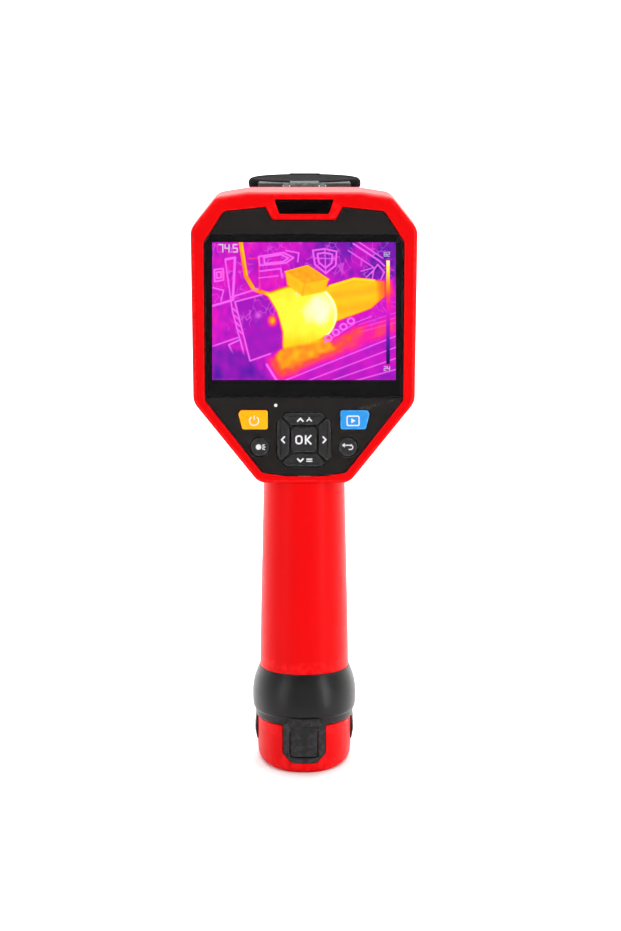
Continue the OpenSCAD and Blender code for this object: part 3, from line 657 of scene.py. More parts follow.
ring = revolve([(0.001, 34), (27.3, 34), (26.95, 36), (25.5, 44.6), (25.28, 45.6), (24.9, 46.3),
                (24.3, 46.8), (23.6, 47), (0.001, 47)])
front = common(join(head_solid(), grip_solid(), ring), seam_side(1, 0.05))
front = cut(front, seam_groove(), casing_cavity())
for x, z, y in SCREWS:
    front = join(front, common(post(4.4, (x, z), y - 16, y + 16, world), head_solid(0.3),
                               seam_side(1, 0.1)))
    front = cut(front, post(3.1, (x, z), y, y + 40, world), post(1.7, (x, z), y - 30, y + 2, world))
front = join(front, common(post(4.6, (0, 106), 0.4, 24, grip), grip_solid(-0.3)))
front = cut(front, post(3.1, (0, 106), 14, 40, grip), post(1.7, (0, 106), -5, 15, grip))
front = cut(front, plate(soft_box(14, 26.2, 2.4, (0, 123.1)), [(8, 0), (40, 0)], grip))
flare = revolve([(0.001, 28), (BARREL_R + 0.15, 28), (BARREL_R + 0.15, 46.3), (BARREL_R + 0.35, 46.75),
                 (BARREL_R + 0.8, 47), (BARREL_R + 0.8, 50), (0.001, 50)])
front = cut(front, flare)
for x in (-8, 8):
    front = cut(front, post(3.8, (x, CAMERA_Z), 30, 60, world))
piece(front, "Front_Housing", "housing", "red_shell", M["red"], "front_shell")

# ---------------------------------------------------------------- panel and glass
GLASS_LOW, GLASS_HIGH = -33.7, 30.1
LED_AT = (-10.9, -36.3)
PAD_AT = (0, -49.5)
SIDE_KEY = [(-5.6, 3.7, 0.9), (4.9, 3.7, 0.9), (5.7, 2.2, 0.9), (4.2, -3.7, 0.9), (-5.6, -3.7, 0.9)]
SIDE_AT, ROUND_AT, ROUND_R = (19.6, -41.9), (17, -52.4), 3.6
ARROW = [(-6.6, 10.3, 2), (6.6, 10.3, 2), (8.2, 8.9, 0.7), (5, 5.7, 0.9), (-5, 5.7, 0.9),
         (-8.2, 8.9, 0.7)]
OK_KEY = soft_box(9.7, 9.7, 1.6, PAD_AT)


def glass_corners(d):
    """The panel's outline between the glass's low and high edges, inset by d."""
    slope = (38.6 - 31) / (38.4 - 26.5)
    shoulder = 38.6 - (GLASS_HIGH - 26.5) * slope
    return inset(mirrored([(shoulder, GLASS_HIGH, 0.8), (38.6, 26.5, 2), (38.1, GLASS_LOW, 0.8)]), d)


def key_outlines():
    keys = {
        "power_key": moved(SIDE_KEY, (-SIDE_AT[0], SIDE_AT[1]), True),
        "gallery_key": moved(SIDE_KEY, SIDE_AT),
        "ok_key": OK_KEY,
    }
    for name, turn in (("up_key", 0), ("left_key", 90), ("down_key", 180), ("right_key", 270)):
        keys[name] = turned(ARROW, turn, PAD_AT)
    for name, x in (("light_key", -ROUND_AT[0]), ("back_key", ROUND_AT[0])):
        keys[name] = soft_box(2 * ROUND_R, 2 * ROUND_R, ROUND_R - 0.001, (x, ROUND_AT[1]))
    return keys


KEYS = key_outlines()
GAP = 0.25
panel = plate(PANEL, edge(0.9, 0.3, 4) + [(3, 0)])
panel = cut(panel, plate(inset(PORT_FRAME, -0.2), [(-1, 0), (5, 0)]))
panel = cut(panel, plate(glass_corners(0.45), [(-1, -0.2), (0.9, -0.2), (1.05, 0), (2.2, 0)]))
panel = cut(panel, plate(soft_box(73.8, 57.3, 0.5, (0, -0.6)), [(1.6, 0), (5, 0)]))
for corners in KEYS.values():
    wide = inset(corners, -GAP)
    panel = cut(panel, plate(wide, [(-1, -0.28)] + [(d, -i) for d, i in edge(0.9, 0.28, 4)] + [(5, 0)]))
panel = cut(panel, post(0.8, LED_AT, 0.9, 5, flare=0.2))
piece(panel, "Keypad_Panel", "housing", "panel_plastic", M["panel"], "keypad_panel")

glass = plate(glass_corners(0.6), edge(0.8, 0.35, 5) + [(2.2, 0)])
view_w, view_h = PICTURE_W + 0.3, PICTURE_H + 0.3
glass = cut(glass, plate(soft_box(view_w, view_h, 0.4), [(-1, 0), (1.05, 0)]))
piece(glass, "Display_Glass", "housing", "display_glass", M["glass"], "display_glass", angle=25)


# ---------------------------------------------------------------- the picture on the screen
def inside(u, v, points, soft=0.35):
    """1 inside a convex or concave outline, with a soft edge."""
    points = [tuple(map(float, p[:2])) for p in points]
    hit = np.zeros(u.shape, bool)
    near = np.full(u.shape, 1e9)
    for (ax, ay), (bx, by) in zip(points, points[1:] + points[:1]):
        crosses = (ay > v) != (by > v)
        with np.errstate(divide="ignore", invalid="ignore"):
            at = (bx - ax) * (v - ay) / (by - ay if by != ay else 1e-9) + ax
        hit ^= crosses & (u < at)
        near = np.minimum(near, along(u, v, (ax, ay), (bx, by)))
    signed = np.where(hit, near, -near)
    return np.clip(0.5 + signed / soft / 2, 0, 1)


def along(u, v, a, b):
    """Distance from the line between a and b."""
    dx, dy = b[0] - a[0], b[1] - a[1]
    t = np.clip(((u - a[0]) * dx + (v - a[1]) * dy) / (dx * dx + dy * dy), 0, 1)
    return np.hypot(u - a[0] - t * dx, v - a[1] - t * dy)


def stroke(u, v, points, width, soft=0.3):
    """1 on a path of the given width."""
    near = np.full(u.shape, 1e9)
    for a, b in zip(points, points[1:]):
        near = np.minimum(near, along(u, v, a, b))
    return np.clip((width / 2 - near) / soft + 0.5, 0, 1)


def waves(u, v, seed, size, count=14):
    """Smooth seeded unevenness between about -1 and 1."""
    rng = np.random.default_rng(seed)
    out = np.zeros(u.shape)
    for _ in range(count):
        turn, phase = rng.uniform(0, 2 * pi, 2)
        k = 2 * pi / (size * rng.uniform(0.6, 1.8))
        out += np.sin(k * (u * cos(turn) + v * sin(turn)) + phase)
    return out / sqrt(count / 2) / 2


def heat_picture(u, v):
    """A warm motor on its bench: warmth 0 to 1, contour lines, and the marks drawn over it."""
    heat = 0.45 + 0.05 * waves(u, v, 3, 12) + 0.04 * waves(u, v, 4, 3)
    heat = heat - 0.2 * np.clip((v - 9) / 14, 0, 1) * np.clip((u + 8) / 26, 0, 1)
    lines = np.zeros(u.shape)

    def paint(points, value, soft=0.35, amount=1.0):
        nonlocal heat, lines
        m = inside(u, v, points, soft) * amount
        heat = heat * (1 - m) + value * m
        lines = lines * (1 - m)

    def warm(points, value, width=0.5, soft=0.35, amount=1.0):
        nonlocal heat
        m = stroke(u, v, points, width, soft) * amount
        heat = heat * (1 - m) + value * m

    def draw(points, width=0.62, amount=0.95):
        nonlocal lines
        lines = np.maximum(lines, amount * stroke(u, v, points, width, 0.3))

    def frames(points, *scales):
        middle = np.mean(points, 0)
        for k in scales:
            loop = [tuple(middle + (np.array(p) - middle) * k) for p in points]
            draw(loop + loop[:1], 0.6)

    # machines, boxes and pipes behind the motor
    paint([(14, 26.6), (35.4, 26.6), (35.4, 9), (24, 12)], 0.26 + 0.06 * waves(u, v, 5, 5), 1.5)
    paint([(20, 27), (30, 27), (23, 16), (17, 17)], 0.42, 1.2)
    frames([(3.4, 23.4), (8, 24), (12.6, 23), (12.2, 17.6), (8.4, 14.6), (4.2, 18)], 1.0, 0.62)
    frames([(-17.5, 21), (-8, 22.6), (-4, 20.6), (-7, 18.6), (-17, 17.6)], 1.0, 0.7)
    frames([(-34.6, 16), (-31.2, 16.4), (-31, 12), (-34.4, 11.4)], 1.0, 0.5)
    for k in range(4):
        draw([(-27.4 + 0.5 * k, 1 - 2.6 * k), (-25.2 + 0.5 * k, -1 - 2.6 * k)], 0.5)
    frames([(-29, -13), (-24.6, -11), (-23, -17.4), (-26.4, -18.4)], 1.0)
    for width, *points in (
            (0.6, (19, 26), (29, 19.4), (31, 17.4)), (0.4, (20.6, 27), (30.4, 20.4)),
            (0.4, (17, 23.4), (27, 16.8), (22, 15.4)), (0.5, (26, 14.6), (28.4, 18), (31, 15), (29, 11)),
            (0.4, (24, 13), (27, 16), (26, 11)), (0.35, (8, 24), (8.4, 14.6)),
            (0.35, (4, 20.4), (12.4, 20.2)), (0.55, (-17, 15.4), (-9, 16.4), (-8.4, 13)),
            (0.4, (-17.4, 12.8), (-10, 13.6)), (0.5, (-7, 23.4), (-2, 22.4), (-2.4, 19)),
            (0.9, (-30, 20), (-26.6, 20.6), (-27.4, 5)), (0.5, (-30.4, 20), (-27.6, 0), (-22.4, -19.6)),
            (0.8, (-35.4, 2), (-27.2, 4.4)), (0.5, (-35, 9), (-31, 8), (-32, 4)),
            (0.6, (-28, 5.4), (-18, 8.6)), (0.5, (-35.4, -13.6), (-25, -10))):
        draw(points, width)
    # bench and floor
    paint([(-35.4, -14), (-22, -16), (-13, -27), (-35.4, -27)], 0.3 + 0.05 * waves(u, v, 7, 7), 1.5)
    paint([(-14, -20), (16, -8), (35.4, -2), (35.4, -8), (-10, -27)],
          0.6 + 0.04 * waves(u, v, 8, 8), 1.6)
    paint([(35.4, -9), (-6, -27), (35.4, -27)], 0.42 + 0.05 * waves(u, v, 9, 9), 1.0)
    for k in range(4):
        draw([(-8 + 9 * k, -27), (35.4, -9.6 - 4.3 * k)], 0.45, 0.8)
    for k in range(3):
        draw([(21, -5.2 - 1.5 * k), (35.4, -0.6 - 1.9 * k)], 0.3, 0.5)
    draw([(-14.4, -20.6), (-10.6, -26.6)], 0.8)
    # warm base of the motor
    paint([(-14, -18.6), (-7, -15), (10, -13), (24, -5), (14, -15), (-8, -25)],
          0.67 + 0.04 * waves(u, v, 11, 4), 1.6)
    paint([(-11, -17), (-8, -13), (9.6, -10), (11.4, -14.6), (-8.6, -22.6)],
          0.76 + 0.03 * waves(u, v, 12, 4), 0.8)
    # pipe down the left and its elbow
    warm([(-24.6, 28), (-22.4, 13.5), (-19.4, 8.4), (-14, 6.6)], 0.76 + 0.04 * waves(u, v, 13, 6), 1.7)
    warm([(-24.2, 28), (-22, 13.8)], 0.84, 0.5)
    warm([(-17.4, 20.4), (-17, 8)], 0.64, 0.55)
    warm([(-21.4, 20.2), (-17.4, 20.4)], 0.62, 0.5)
    # shaft housing on the right
    paint([(6, 8.6), (9.6, 9.8), (19.2, 12.7), (25, 12.3), (31, 11.6), (31, 5.6), (26, 1),
           (12, -4.2), (6, 0)],
          0.815 + 0.015 * np.sin((v - 0.15 * u) * 1.1) + 0.006 * waves(u, v, 29, 5), 0.4)
    paint([(28.6, 11.8), (34.6, 12.6), (34.8, 6.6), (29, 4.6)], 0.68, 1.2, 0.85)
    warm([(10, 9.7), (19.2, 12.5), (27, 11.9)], 0.88, 0.9, 0.5)
    # motor body
    top = [(-15, 6.8), (-6.4, 9.6), (5.6, 9.9)]
    flank = [(12 * cos(t) + 0.3, 11.4 * sin(t) - 1.2)
             for t in (radians(72 - 9 * k) for k in range(17))]
    body = top + flank + [(-3, -13.4), (-9, -14.6), (-8.4, -8), (-10.6, -0.5)]
    glow = 0.87 + 0.05 * np.clip(1 - ((v + 1 - 0.1 * u) / 13) ** 2, 0, 1)
    glow = glow + 0.07 * np.exp(-((u - 6) ** 2 / 40 + (v - 1) ** 2 / 60)) - 0.03 * np.clip((-v - 7) / 5, 0, 1)
    paint(body, glow + 0.01 * waves(u, v, 17, 5), 0.7)
    warm(flank[:14], 1.0, 0.9, 0.7)
    for k in range(3):
        warm([(-5 + 3.2 * k, 8.6), (-3.6 + 3.6 * k, 0), (-4.6 + 3.4 * k, -12.4)], 0.93, 0.3, 0.5, 0.25)
    # end cover on the left, cooler, with a hot bearing
    cap = [(-26.6, 3.6), (-16, 6.4), (-14, 5.4), (-11.6, 1.4), (-9.6, -4), (-8.6, -10), (-8.4, -14.4),
           (-20.8, -19.2)]
    paint(cap, 0.37 + 0.02 * waves(u, v, 19, 5), 0.6)
    draw(cap[-1:] + cap[:2], 0.55)
    draw([(-20.8, -19.2), (-13, -16.4)], 0.55)
    near = np.hypot(u + 12.2, (v + 3.6) * 0.8)
    heat = np.maximum(heat, 0.8 * np.exp(-(near / 2.7) ** 2) + 0.02)
    near = np.hypot(u + 17.7, v + 1.6)
    lines = np.maximum(lines, 0.7 * np.exp(-(near / 1.1) ** 2))
    # terminal box on top
    box = [(-7.3, 15.2), (1.4, 17.6), (9.6, 12.2), (8.2, 7.6), (-0.6, 5.8), (-6.6, 10.2)]
    paint(box, 0.815 + 0.015 * waves(u, v, 23, 4), 0.3)
    paint([(-7.3, 15.2), (1.4, 17.6), (9.6, 12.2), (0.2, 10.4)], 0.775 + 0.02 * waves(u, v, 25, 3), 0.3)
    warm([(-7.3, 15.2), (0.2, 10.4), (9.6, 12.2)], 0.83, 0.3)
    warm([(-7.3, 15.2), (1.4, 17.6), (9.6, 12.2)], 0.86, 0.4)
    warm([(0.2, 10.4), (-0.6, 6)], 0.76, 0.3)
    # bolts round the flange
    for k in range(4):
        at = (9.4 + 2.9 * k, -10.4 + 2.2 * k)
        ring = np.abs(np.hypot((u - at[0]) * 0.9, v - at[1]) - 1.1)
        lines = np.maximum(lines, np.clip((0.32 - ring) / 0.2 + 0.5, 0, 1))
    draw([(8, -12), (12, -9.6), (20, -4.4), (26, -2)], 0.35, 0.8)
    # the colour bar
    bar = inside(u, v, [(31.7, 19.6), (33.1, 19.6), (33.1, -20.4), (31.7, -20.4)], 0.12)
    heat = heat * (1 - bar) + np.clip((v + 20.4) / 40, 0, 1) * bar
    lines = lines * (1 - bar)
    # thin contour echoes, as a sharpened edge picture leaves on the background
    cool = np.clip((0.56 - heat) / 0.1, 0, 1) * np.clip((v + 12) / 8, 0, 1)
    echo = np.abs(waves(u, v, 31, 3.4) + 0.6 * waves(u, v, 37, 7))
    lines = np.maximum(lines, 0.4 * cool * np.clip((0.16 - echo) / 0.1, 0, 1) * (1 - bar)
                       * np.clip(waves(u, v, 41, 10) * 2 + 0.6, 0, 1))
    mark = np.zeros(u.shape)
    for a, b in (((-1.8, 0), (-0.5, 0)), ((0.5, 0), (1.8, 0)), ((0, -1.8), (0, -0.5)), ((0, 0.5), (0, 1.8))):
        mark = np.maximum(mark, 0.5 * stroke(u, v, [a, b], 0.34, 0.15))
    for a, b in (((-3.5, 6.6), (-1.9, 6.6)), ((-2.7, 5.8), (-2.7, 7.4))):
        mark = np.maximum(mark, 0.8 * stroke(u, v, [a, b], 0.26, 0.15))
    digits = {"2": "abged", "4": "fgbc", "7": "abc", "5": "afgcd", "8": "abcdefg"}
    bars = {"a": ((0, 3), (1.6, 3)), "b": ((1.6, 3), (1.6, 1.5)), "c": ((1.6, 1.5), (1.6, 0)),
            "d": ((0, 0), (1.6, 0)), "e": ((0, 1.5), (0, 0)), "f": ((0, 3), (0, 1.5)),
            "g": ((0, 1.5), (1.6, 1.5))}

    def readout(text, at, size):
        nonlocal mark
        x = at[0]
        for ch in text:
            if ch == ".":
                mark = np.maximum(mark, stroke(u, v, [(x, at[1]), (x + 0.01, at[1])], 0.36 * size, 0.15))
                x += 0.8 * size
                continue
            for key in digits[ch]:
                path = [(x + q[0] * size, at[1] + q[1] * size) for q in bars[key]]
                mark = np.maximum(mark, 0.95 * stroke(u, v, path, 0.4 * size, 0.15))
            x += 2.5 * size

    readout("74.5", (-32.8, 22.8), 0.95)
    readout("82", (30.9, 21.2), 0.5)
    readout("24", (30.9, -22.9), 0.5)
    return (np.clip(heat, 0, 1), np.clip(lines, 0, 1), np.clip(mark, 0, 1))


def screen_picture(columns=354, rows=266, depth=0.98):
    us = np.linspace(-PICTURE_W / 2, PICTURE_W / 2, columns + 1)
    vs = np.linspace(-PICTURE_H / 2, PICTURE_H / 2, rows + 1)
    u, v = np.meshgrid(us, vs)
    verts = [(float(a), depth, float(b)) for a, b in zip(u.ravel(), v.ravel())]
    w = columns + 1
    faces = [(j * w + i, j * w + i + 1, (j + 1) * w + i + 1, (j + 1) * w + i)
             for j in range(rows) for i in range(columns)]
    obj = raw("Screen_Picture", verts, faces, face)
    return obj, u, v


picture, grid_u, grid_v = screen_picture()
for key, values in zip(("warmth", "outline", "mark"), heat_picture(grid_u, grid_v)):
    store = picture.data.attributes.new(key, "FLOAT", "POINT")
    store.data.foreach_set("value", values.ravel().astype(np.float32))
picture.data.materials.append(M["picture"])
picture.data.shade_smooth()
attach(picture, "housing")


# ---------------------------------------------------------------- keys and their icons
def crown(corners, front, r, rise, back, rounds):
    """A cap whose top swells a little towards its middle."""
    top = [(front - rise * (1 - (k / rounds[0]) ** 2), r + rounds[1] * (1 - k / rounds[0]))
           for k in range(rounds[0])]
    return plate(corners, top + edge(front, r) + [(back, 0)])


CROWNS = {name: (0.12, 0.55, 0.12, 4, (4, 2.2)) for name in ("power_key", "gallery_key")}
CROWNS["ok_key"] = (0.14, 0.5, 0.1, 4, (4, 2.4))
INK = -0.03, 0.25                # depths of an icon's front and back


def ribbon(points, width, closed=False):
    """A flat stroke of even width on the key's top, as a thin solid."""
    pts = [Vector(p) for p in points]
    n = len(pts)
    left, right = [], []
    for i, p in enumerate(pts):
        before = pts[i - 1] if (i or closed) else None
        after = pts[(i + 1) % n] if (i < n - 1 or closed) else None
        d1 = (p - before).normalized() if before is not None else (after - p).normalized()
        d2 = (after - p).normalized() if after is not None else d1
        m = d1 + d2
        m.normalize()
        side = Vector((-m.y, m.x))
        k = width / 2 / max(0.35, side.dot(Vector((-d1.y, d1.x))))
        left.append(p + side * k)
        right.append(p - side * k)
    verts, faces = [], []
    for y in INK:
        verts += [(q.x, y, q.y) for q in left] + [(q.x, y, q.y) for q in right]
    m = 2 * n
    for i in range(n if closed else n - 1):
        j = (i + 1) % n
        faces += [(i, j, n + j, n + i), (m + i, m + j, m + n + j, m + n + i),
                  (i, j, m + j, m + i), (n + i, n + j, m + n + j, m + n + i)]
    if not closed:
        for i in (0, n - 1):
            faces.append((i, n + i, m + n + i, m + i))
    return raw("ink", verts, faces, face)


def blot(points):
    """A filled flat shape from plain points."""
    return loft([[(x, y, z) for x, z in points] for y in INK], face)


def arc(centre, r, start, end, steps=20):
    return [(centre[0] + r * cos(radians(start + (end - start) * k / steps)),
             centre[1] + r * sin(radians(start + (end - start) * k / steps)))
            for k in range(steps + 1)]


def icons(name):
    x, z = {"power_key": (-19.2, -42.3), "gallery_key": (18.9, -42.3), "up_key": (0, -42.0),
            "down_key": (0, -57.4), "left_key": (-8, -49.6), "right_key": (7.8, -49.6),
            "ok_key": (-0.2, -49.6),
            "light_key": (-ROUND_AT[0], ROUND_AT[1]), "back_key": ROUND_AT}[name]
    at = (x, z)
    if name == "power_key":
        return [ribbon(arc(at, 1.75, 125, 415, 32), 0.5), ribbon([(x, z + 0.2), (x, z + 2.1)], 0.5)]
    if name == "gallery_key":
        frame_points = rounded(soft_box(4.6, 3.6, 0.5, at), 5)
        return [ribbon(frame_points, 0.5, closed=True),
                blot([(x - 0.7, z - 0.95), (x - 0.7, z + 0.95), (x + 1.0, z)])]
    if name == "up_key":
        return [ribbon(moved([(-2.6, -0.6), (-1.4, 0.6), (-0.2, -0.6)], at), 0.6),
                ribbon(moved([(1.0, -0.5), (2.0, 0.5), (3.0, -0.5)], at), 0.5),
                ribbon(moved([(2.0, 0.3), (2.0, 1.1)], at), 0.45)]
    if name == "down_key":
        return [ribbon(moved([(-2.6, 0.6), (-1.4, -0.6), (-0.2, 0.6)], at), 0.6),
                ribbon(moved([(0.9, 0.35), (3.2, 0.35)], at), 0.42),
                ribbon(moved([(0.9, -0.45), (3.2, -0.45)], at), 0.42)]
    if name in ("left_key", "right_key"):
        s = -1 if name == "left_key" else 1
        return [ribbon(moved([(-0.6 * s, 1.3), (0.6 * s, 0), (-0.6 * s, -1.3)], at), 0.6)]
    if name == "ok_key":
        ring = rounded(soft_box(2.2, 2.9, 0.9, (x - 1.75, z)), 6)
        return [ribbon(ring, 0.62, closed=True),
                ribbon([(x + 0.85, z - 1.75), (x + 0.85, z + 1.75)], 0.62),
                ribbon([(x + 3.0, z + 1.75), (x + 1.3, z), (x + 3.0, z - 1.75)], 0.62)]
    if name == "light_key":
        return [blot(disc(1.05, (x - 0.5, z), 32)),
                ribbon(moved([(0.9, 0.6), (1.9, 0.95)], at), 0.42),
                ribbon(moved([(1.0, 0), (2.1, 0)], at), 0.42),
                ribbon(moved([(0.9, -0.6), (1.9, -0.95)], at), 0.42)]
    hook = [(-1.9, 0.7), (1.0, 0.7)] + arc((1.0, -0.1), 0.8, 90, -90, 8) + [(0.2, -0.9)]
    return [ribbon(moved(hook, at), 0.42),
            blot(moved([(-2.4, 0.7), (-1.3, 1.6), (-1.3, -0.2)], at))]


KEY_LOOKS = {"power_key": ("orange", "key_orange"), "gallery_key": ("blue", "key_blue")}
for name in KEYS:
    look, slot = KEY_LOOKS.get(name, ("key", "key_black"))
    title = "_".join(w.capitalize() for w in name.split("_"))
    if name in ("light_key", "back_key"):
        x = KEYS[name][0][0] + ROUND_R
        rim_rings = [(3.0 + 0.6 * sin(t), 0.2 + 0.6 * (1 - cos(t))) for t in sweep_angles(5)]
        cap = stack([(0.01, 0.0), (1.2, 0.02), (2.1, 0.07), (2.7, 0.13)] + rim_rings + [(3.6, 4)],
                    (x, ROUND_AT[1]), 64)
    else:
        cap = crown(KEYS[name], *CROWNS.get(name, (0.1, 0.4, 0.06, 4, (3, 0.8))))
    ink = merge("ink", *icons(name))
    stub_at = {"power_key": (-19.6, -41.9), "gallery_key": SIDE_AT, "ok_key": PAD_AT,
               "light_key": (-ROUND_AT[0], ROUND_AT[1]), "back_key": ROUND_AT,
               "up_key": (0, -41.5), "down_key": (0, -57.5), "left_key": (-8, -49.5),
               "right_key": (8, -49.5)}[name]
    cap = join(cap, post(1.6, stub_at, 3.9, 4.6))
    piece(cap, title, name, slot, M[look], name, angle=25)
    piece(ink, title + "_Icon", name, None, M["print_warm" if name == "power_key" else "print"])

led = stack([(0.01, 0.82), (0.3, 0.85), (0.52, 0.93), (0.62, 1.05), (0.65, 1.2), (0.65, 3.4)],
            LED_AT, 32)
piece(led, "Status_Light", "housing", "led_lens", M["lamp"], "status_led")

# ---------------------------------------------------------------- port cover
flap = plate(PORT_FLAP, edge(0.42, 0.35, 5) + [(1.85, 0)], steps=5)
flap = join(flap, plate(inset(PORT_FLAP, 0.9), [(1.8, 0), (2.45, 0), (2.6, 0.15)], steps=5))
pin = loft([[(x, a, b) for a, b in circle((1.15, 42.1), r, 24)] for x, r in
            ((-11.7, 0.3), (-11.65, 0.35), (-10.8, 0.35), (-10.8, 0.7), (10.8, 0.7), (10.8, 0.35),
             (11.65, 0.35), (11.7, 0.3))], face)
flap = join(flap, pin)
flap = cut(flap, plate(soft_box(9, 1.0, 0.45, (0, 38.75)), [(-1, 0), (0.85, 0), (0.95, 0.15)], steps=5))
piece(flap, "Port_Cover", "port_cover", "cover_rubber", M["rubber"], "port_cover", angle=28)

# ---------------------------------------------------------------- lens, barrel and cover
HINGE_Y, HINGE_Z = 58.3, LENS_Z + 26.6
CAP_R = 23.6
barrel = turned_part([
    (11.6, 41.2, 0.1), (23.4, 41.2, 0.1), (23.4, 42.7, 0.3), (21.5, 42.7, 0.05), (21.5, 51.6, 0.1),
    (21.1, 51.8, 0.1), (21.1, 52.6, 0.1), (21.5, 52.8, 0.1), (21.5, 58.5, 0.9), (18.9, 58.5, 0.35),
    (17.4, 56.6, 0.1), (17.4, 49.4, 0.1), (11.6, 47, 0.1)])
for side in (-1, 1):
    profile = [(48.4, LENS_Z + 18.5), (55.7, LENS_Z + 18.5), (55.7, LENS_Z + 23)]
    profile += arc((HINGE_Y, HINGE_Z), 2.2, -90, 120, 21)
    profile += [(52.5, HINGE_Z - 1), (48.4, LENS_Z + 22.5)]
    lug = prism_x(profile, 1.3, middle=side * 7.4)
    eye = prism_x(circle((HINGE_Y, HINGE_Z), 1.2), 3, middle=side * 7.4)
    barrel = cut(join(barrel, lug), eye)
piece(barrel, "Lens_Barrel", "housing", "barrel_plastic", M["barrel"], "lens_barrel")

dome = [(r, 53.6 - 46 + sqrt(46 * 46 - r * r)) for r in (0.001, 2, 4, 6, 8, 10, 12, 14, 15.5, 16.6, 17.05)]
front_lens = revolve([(0.001, 49.6), (17.2, 49.6), (17.2, dome[-1][1] - 0.15)] + dome[::-1],
                     n=160)
piece(front_lens, "Front_Lens", "housing", "lens_germanium", M["germanium"], "front_lens", angle=40)

lens_ring = turned_part([(15.2, 53.7, 0.15), (17.2, 53.7, 0.1), (17.2, 55.6, 0.2), (15.8, 55.6, 0.2)])
for turn in (0, 90):
    slot_cut = loft([[(x, z, y) for x, z in rounded(turned(soft_box(40, 1.6, 0.3), turn), 4)]
                     for y in (54.6, 58)], lens)
    lens_ring = cut(lens_ring, slot_cut)
piece(lens_ring, "Lens_Ring", "housing", "ring_alloy", M["alloy"], "lens_ring")


def opened(obj):
    """Swings a cover that is drawn shut up about its pin."""
    pin_at = Vector((0, HINGE_Y, HINGE_Z)) * MM
    turn = Matrix.Translation(pin_at) @ Matrix.Rotation(radians(90), 4, "X") @ Matrix.Translation(-pin_at)
    obj.data.transform(turn)
    return obj


cover = turned_part([(0.001, 59, 0.0005), (22, 59, 0.4), (22, 56.5, 0.3), (23.6, 56.5, 1.4),
                     (23.6, 60.8, 2.0), (20.4, 60.8, 0.2), (20.0, 60.55, 0.2), (0.001, 60.55, 0.0005)])
leaf = join(prism_x(rounded([(57.2, LENS_Z + 22.1, 0.25), (57.2, LENS_Z + 23.4, 0.3),
                             (60.2, LENS_Z + 23.4, 0.5), (60.2, LENS_Z + 22.1, 0.25)], 4), 19),
            prism_x(rounded([(59, LENS_Z + 12, 0.2), (59, LENS_Z + 22.5, 0.2), (60.2, LENS_Z + 22.5, 0.2),
                             (60.2, LENS_Z + 12, 0.2)], 3), 18.6))
knuckle = prism_x([(59, LENS_Z + 20), (60.8, LENS_Z + 20)]
                  + arc((HINGE_Y, HINGE_Z), 2.5, 0, 180, 18)
                  + [(56.4, LENS_Z + 24), (57.2, LENS_Z + 23)], 5.85)
for side in (-1, 1):             # skirt that closes the gap behind the head when the lid is up
    leaf = join(leaf, prism_x(rounded([(55.1, LENS_Z + 22.1, 0.3), (55.1, LENS_Z + 23.4, 0.3),
                                       (58, LENS_Z + 23.4, 0.1), (58, LENS_Z + 22.1, 0.1)], 3),
                              5, middle=side * 14))
low = LENS_Z - CAP_R
tab = prism_x(rounded([(57.4, low + 1, 0.1), (57.4, low - 2.4, 0.9), (59, low - 2.95, 0.9),
                       (60.8, low - 2.0, 0.9), (60.8, low + 1, 0.1)], 5), 6.5)
cover = join(cover, tab)
RIM = [(0.001, 50), (CAP_R - 1.6, 50), (CAP_R - 1.6, 59), (0.001, 59)]
rim = revolve(RIM)
pin_hole = prism_x(circle((HINGE_Y, HINGE_Z), 1.25), 30)
cover = cut(cover, rim)
leaf = cut(join(leaf, knuckle), revolve(RIM), pin_hole)
piece(opened(cover), "Lens_Cover", "lens_cover", "cover_rubber", M["rubber"], "lens_cover")
# the leaf wears the lighter grey, partly its own colour and partly a painted highlight of the cover's lit
# near wall
piece(opened(leaf), "Lens_Cover_Leaf", "lens_cover", "cover_rubber", M["leaf"])


# ---------------------------------------------------------------- camera and torch windows
def window(name, x, slot, look, node):
    rings = [(3.7, 45.4), (3.7, 46.05), (3.6, 46.22), (3.4, 46.3), (3.05, 46.3), (2.95, 46.15),
             (2.4, 46.22), (1.5, 46.29), (0.001, 46.3)]
    piece(stack(rings, (x, CAMERA_Z), 64, world), name, "housing", slot, look, node, angle=30)


window("Camera_Window", -8, "window_glass", M["window_dark"], "camera_window")
window("Torch_Window", 8, "window_glass", M["window_clear"], "torch_window")

# ---------------------------------------------------------------- trigger
HOLLOW = (45.2, 122.5)
profile = [(16.4, 112.2), (24.4, 111.8)]
profile += arc(HOLLOW, 21, 207, 153, 18)
profile += [(24, 134.4), (22.6, 135.4), (16.4, 135.4)]


def shrunk(points, d):
    return [(x, z) for x, z, _ in inset([(x, z, 0.0001) for x, z in points][::-1], d)][::-1]


steps = [(-6.5 + 0.9 * (1 - cos(t)), 0.9 * (1 - sin(t))) for t in sweep_angles(5)]
steps += [(-x, d) for x, d in steps[::-1]]
lever = loft([[(x, y, z) for y, z in shrunk(profile, d)] for x, d in steps], grip)
lever = join(lever, prism_x([(10.4, 141.2), (16.6, 141.2), (19, 135.4), (19, 126), (14.6, 126),
                             (10.4, 134.4)], 3.5, grip))
lever = cut(lever, prism_x(circle((13.5, 138.2), 1.55), 30, grip))
for k in range(7):
    a = radians(166 + 4.6 * k)
    at = (HOLLOW[0] + 21 * cos(a), HOLLOW[1] + 21 * sin(a))
    lever = cut(lever, prism_x(circle(at, 0.34, 16), 4.4, grip))
piece(lever, "Trigger", "trigger", "trigger_plastic", M["trigger"], "trigger")

